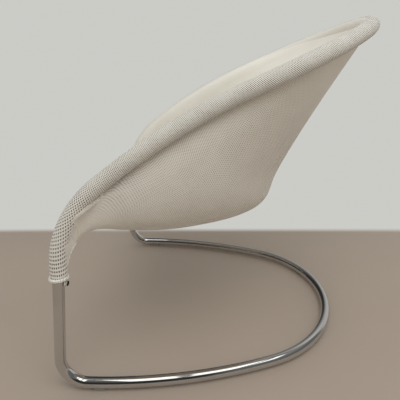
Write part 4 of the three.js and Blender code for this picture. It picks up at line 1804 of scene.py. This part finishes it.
    def build(self) -> list[Piece]:
        """Makes the pieces of both joints."""
        makers = (self.hem, self.loop, self.screw, self.spacer)
        return [make(hand) for hand in Hand for make in makers]


@dataclass
class HiddenParts:
    """The CAD nodes that stay as they are, inside the roll and the joints.

    Attributes:
        names: the nodes.
        finish: what they are made of.
    """

    names: tuple[str, ...] = (
        "seat_tube", "leg_spigot_left", "leg_spigot_right", "spigot_nut_left", "spigot_nut_right"
    )
    finish: Finish = STEEL

    def build(self) -> list[Piece]:
        """Dresses the nodes."""
        dressed = []
        for name in self.names:
            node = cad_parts[name]
            node.data.materials.clear()
            node.data.materials.append(self.finish.material)
            dressed.append(node)
        return dressed


# The studio


@dataclass
class Studio:
    """Floor, lamps, surroundings and camera.

    Attributes:
        floor_colour: the floor's colour.
        backdrop: what the camera sees beyond the floor.
        ambient: colour and strength of the even light from above.
        bounce: the same from the sides and below.
        floor_size: width of the floor.
        fade_centre: the middle of the visible floor.
        fade_reach: half of its depth and half of its width, where it starts to fade into the backdrop.
        fade_end: where the fading ends, as a multiple of that.
        lamp_pitch: how close the overhead lamps that metal sees are, front to back.
        lamp_start: where the first of them is.
        metal_sky: how bright the surroundings are for metal, by the height that it looks to.
        ceiling_at: where the ceiling lamp hangs.
        ceiling_aim: the point that it faces.
        ceiling_size: its width and height.
        ceiling_watts: its power.
        camera_at: where the camera stands.
        camera_yaw: how far it is turned from square to the chair's side.
        camera_pitch: how far it looks down.
        lens: its focal length.
        sensor: its sensor's width.
        shift: its shift across and up.
    """

    floor_colour: Colour = (0.46, 0.385, 0.322)
    backdrop: Colour = (0.60, 0.60, 0.57)
    ambient: Colour = (0.58, 0.58, 0.565)
    bounce: Colour = (1.09, 1.0, 0.875)
    floor_size: float = 60.0
    fade_centre: tuple[float, float] = (0.55, 0.0)
    fade_reach: tuple[float, float] = (1.055, 2.5)
    fade_end: float = 1.05
    lamp_pitch: float = 2.62
    lamp_start: float = -2.2
    metal_sky: tuple[tuple[float, float], ...] = (
        (0, 0.14), (0.12, 0.06), (0.3, 0.03), (0.6, 0.03), (0.7, 0.12), (1, 0.2)
    )
    ceiling_at: tuple[float, float, float] = (1.3, 0.3, 2.5)
    ceiling_aim: tuple[float, float, float] = (0, 0, 0.45)
    ceiling_size: tuple[float, float] = (1.8, 1.6)
    ceiling_watts: float = 21
    camera_at: tuple[float, float, float] = (1.1714, 0.0126, 0.815)
    camera_yaw: float = math.radians(1.84)
    camera_pitch: float = math.radians(15.64)
    lens: float = 36.0
    sensor: float = 36.0
    shift: tuple[float, float] = (-0.04, -0.10)

    def floor(self) -> None:
        """Lays a plain pale floor, which fades into the backdrop away from the chair."""
        bm = bmesh.new()
        bmesh.ops.create_grid(bm, x_segments=1, y_segments=1, size=self.floor_size / 2)
        mesh = bpy.data.meshes.new("floor")
        bm.to_mesh(mesh)
        bm.free()
        nodes = Nodes(bpy.data.materials.new("pale_floor"))
        nodes.set(Roughness=0.5, Specular_IOR_Level=0.25)
        cloud = nodes.span(nodes.noise(1.4, 4), 0.3, 0.7)
        nodes.colour(nodes.blend(cloud, self.floor_colour, shade(self.floor_colour, 0.95)))
        where = nodes.coordinates()
        square = nodes.add("Mapping", {"Vector": where, "Rotation": (0, 0, -self.camera_yaw)})
        split = nodes.add("SeparateXYZ", {0: square.outputs[0]})
        powers = []
        for axis, (centre, reach) in enumerate(zip(self.fade_centre, self.fade_reach)):
            away = nodes.times(nodes.math("SUBTRACT", split.outputs[axis], centre), 1 / reach)
            powers.append(nodes.math("POWER", away, 4.0))
        away = nodes.math("POWER", nodes.math("ADD", *powers), 0.25)
        share = nodes.times(nodes.span(away, 1, self.fade_end), self.seen(nodes))
        plain = nodes.add("Emission", {0: (*self.backdrop, 1)})
        mix = nodes.add("MixShader", {0: share, 1: nodes.shader.outputs[0], 2: plain.outputs[0]})
        nodes.feed(mix.outputs[0], nodes.tree.nodes["Material Output"].inputs[0])
        mesh.materials.append(nodes.owner)
        piece = bpy.data.objects.new("floor", mesh)
        bpy.context.scene.collection.objects.link(piece)

    def seen(self, nodes: Nodes) -> Socket:
        """1 for what the camera sees straight, in metal or through plastic, and 0 for light."""
        path = nodes.add("LightPath").outputs
        mirrored = nodes.math("MAXIMUM", path["Is Glossy Ray"], path["Is Transmission Ray"])
        return nodes.math("MAXIMUM", path["Is Camera Ray"], mirrored)

    def ceiling_lamp(self) -> None:
        """Hangs the soft rectangular lamp."""
        data = bpy.data.lights.new("ceiling_lamp", "AREA")
        data.shape, data.energy = "RECTANGLE", self.ceiling_watts
        data.size, data.size_y = self.ceiling_size
        lamp = bpy.data.objects.new("ceiling_lamp", data)
        lamp.location = self.ceiling_at
        facing = Vector(self.ceiling_aim) - Vector(self.ceiling_at)
        lamp.rotation_euler = facing.to_track_quat("-Z", "Y").to_euler()
        lamp.visible_glossy = False
        bpy.context.scene.collection.objects.link(lamp)

    def surroundings(self) -> None:
        """Sets a pale room. Metal sees its lamps overhead and its dark far side."""
        nodes = Nodes(bpy.data.worlds.new("studio"))
        bpy.context.scene.world = nodes.owner
        nodes.tree.nodes.clear()
        path = nodes.add("LightPath").outputs
        split = nodes.add("SeparateXYZ", {0: nodes.add("TexCoord").outputs["Generated"]}).outputs
        level = nodes.ramp(split[2], self.metal_sky)
        wall = nodes.times(nodes.span(split[0], -0.2, -0.45), nodes.span(split[2], 0.75, 0.9, 1, 0))
        wall = nodes.times(wall, nodes.span(split[1], -0.25, 0.35))
        level = nodes.math("MULTIPLY_ADD", wall, 0.38, level)
        level = nodes.math("MULTIPLY_ADD", nodes.span(split[1], 0.28, 0.5), 0.12, level)
        place = nodes.math("DIVIDE", split[1], nodes.math("MAXIMUM", split[2], 0.2))
        place = nodes.math("MULTIPLY_ADD", split[0], -0.25, place)
        phase = nodes.math("MULTIPLY_ADD", place, 2 * math.pi * self.lamp_pitch, self.lamp_start)
        wave = nodes.math("SINE", phase)
        lamps = nodes.times(nodes.span(wave, -0.92, -0.8), nodes.span(split[2], 0.76, 0.79))
        for value, low, high in ((split[0], -0.1, -0.03), (place, -0.3, -0.27), (place, 0.62, 0.58)):
            lamps = nodes.times(lamps, nodes.span(value, low, high))
        level = nodes.math("MULTIPLY_ADD", lamps, 1.6, level)
        room = nodes.add("Background", {0: (1, 0.99, 0.96, 1), 1: level})
        light = nodes.blend(nodes.span(split[2], -0.1, 0.5), self.bounce, self.ambient)
        even = nodes.add("Background", {0: light})
        backdrop = nodes.add("Background", {0: (*self.backdrop, 1)})
        gloss = nodes.add("MixShader", {0: path["Is Glossy Ray"], 1: even.outputs[0], 2: room.outputs[0]})
        straight = nodes.math("MAXIMUM", path["Is Camera Ray"], path["Is Transmission Ray"])
        final = nodes.add("MixShader", {0: straight, 1: gloss.outputs[0], 2: backdrop.outputs[0]})
        nodes.add("OutputWorld", {0: final.outputs[0]})

    def camera(self) -> None:
        """Sets the camera at the photograph's place."""
        data = bpy.data.cameras.new("camera")
        data.lens, data.sensor_width = self.lens, self.sensor
        data.shift_x, data.shift_y = self.shift
        data.clip_start, data.clip_end = 0.01, 200
        camera = bpy.data.objects.new("camera", data)
        camera.location = self.camera_at
        turn = Matrix.Rotation(math.pi / 2 + self.camera_yaw, 3, "Z")
        tilt = Matrix.Rotation(math.pi / 2 - self.camera_pitch, 3, "X")
        camera.rotation_euler = (turn @ tilt).to_euler()
        bpy.context.scene.collection.objects.link(camera)
        bpy.context.scene.camera = camera

    def build(self) -> None:
        """Sets up the studio."""
        self.camera()
        self.floor()
        self.surroundings()
        self.ceiling_lamp()
        bpy.context.scene.view_settings.view_transform = "Standard"


def main() -> None:
    """Builds the chair in its studio and reports its pieces."""
    logging.basicConfig(level=logging.INFO, format="%(name)s: %(message)s")
    Studio().build()
    for part in (FloorLoop(), PaddedRim(), Bucket(), LegJoint(), HiddenParts()):
        made = part.build()
        log.info("%s: %s", type(part).__name__, ", ".join(piece.name for piece in made))


if __name__ == "__main__":
    main()
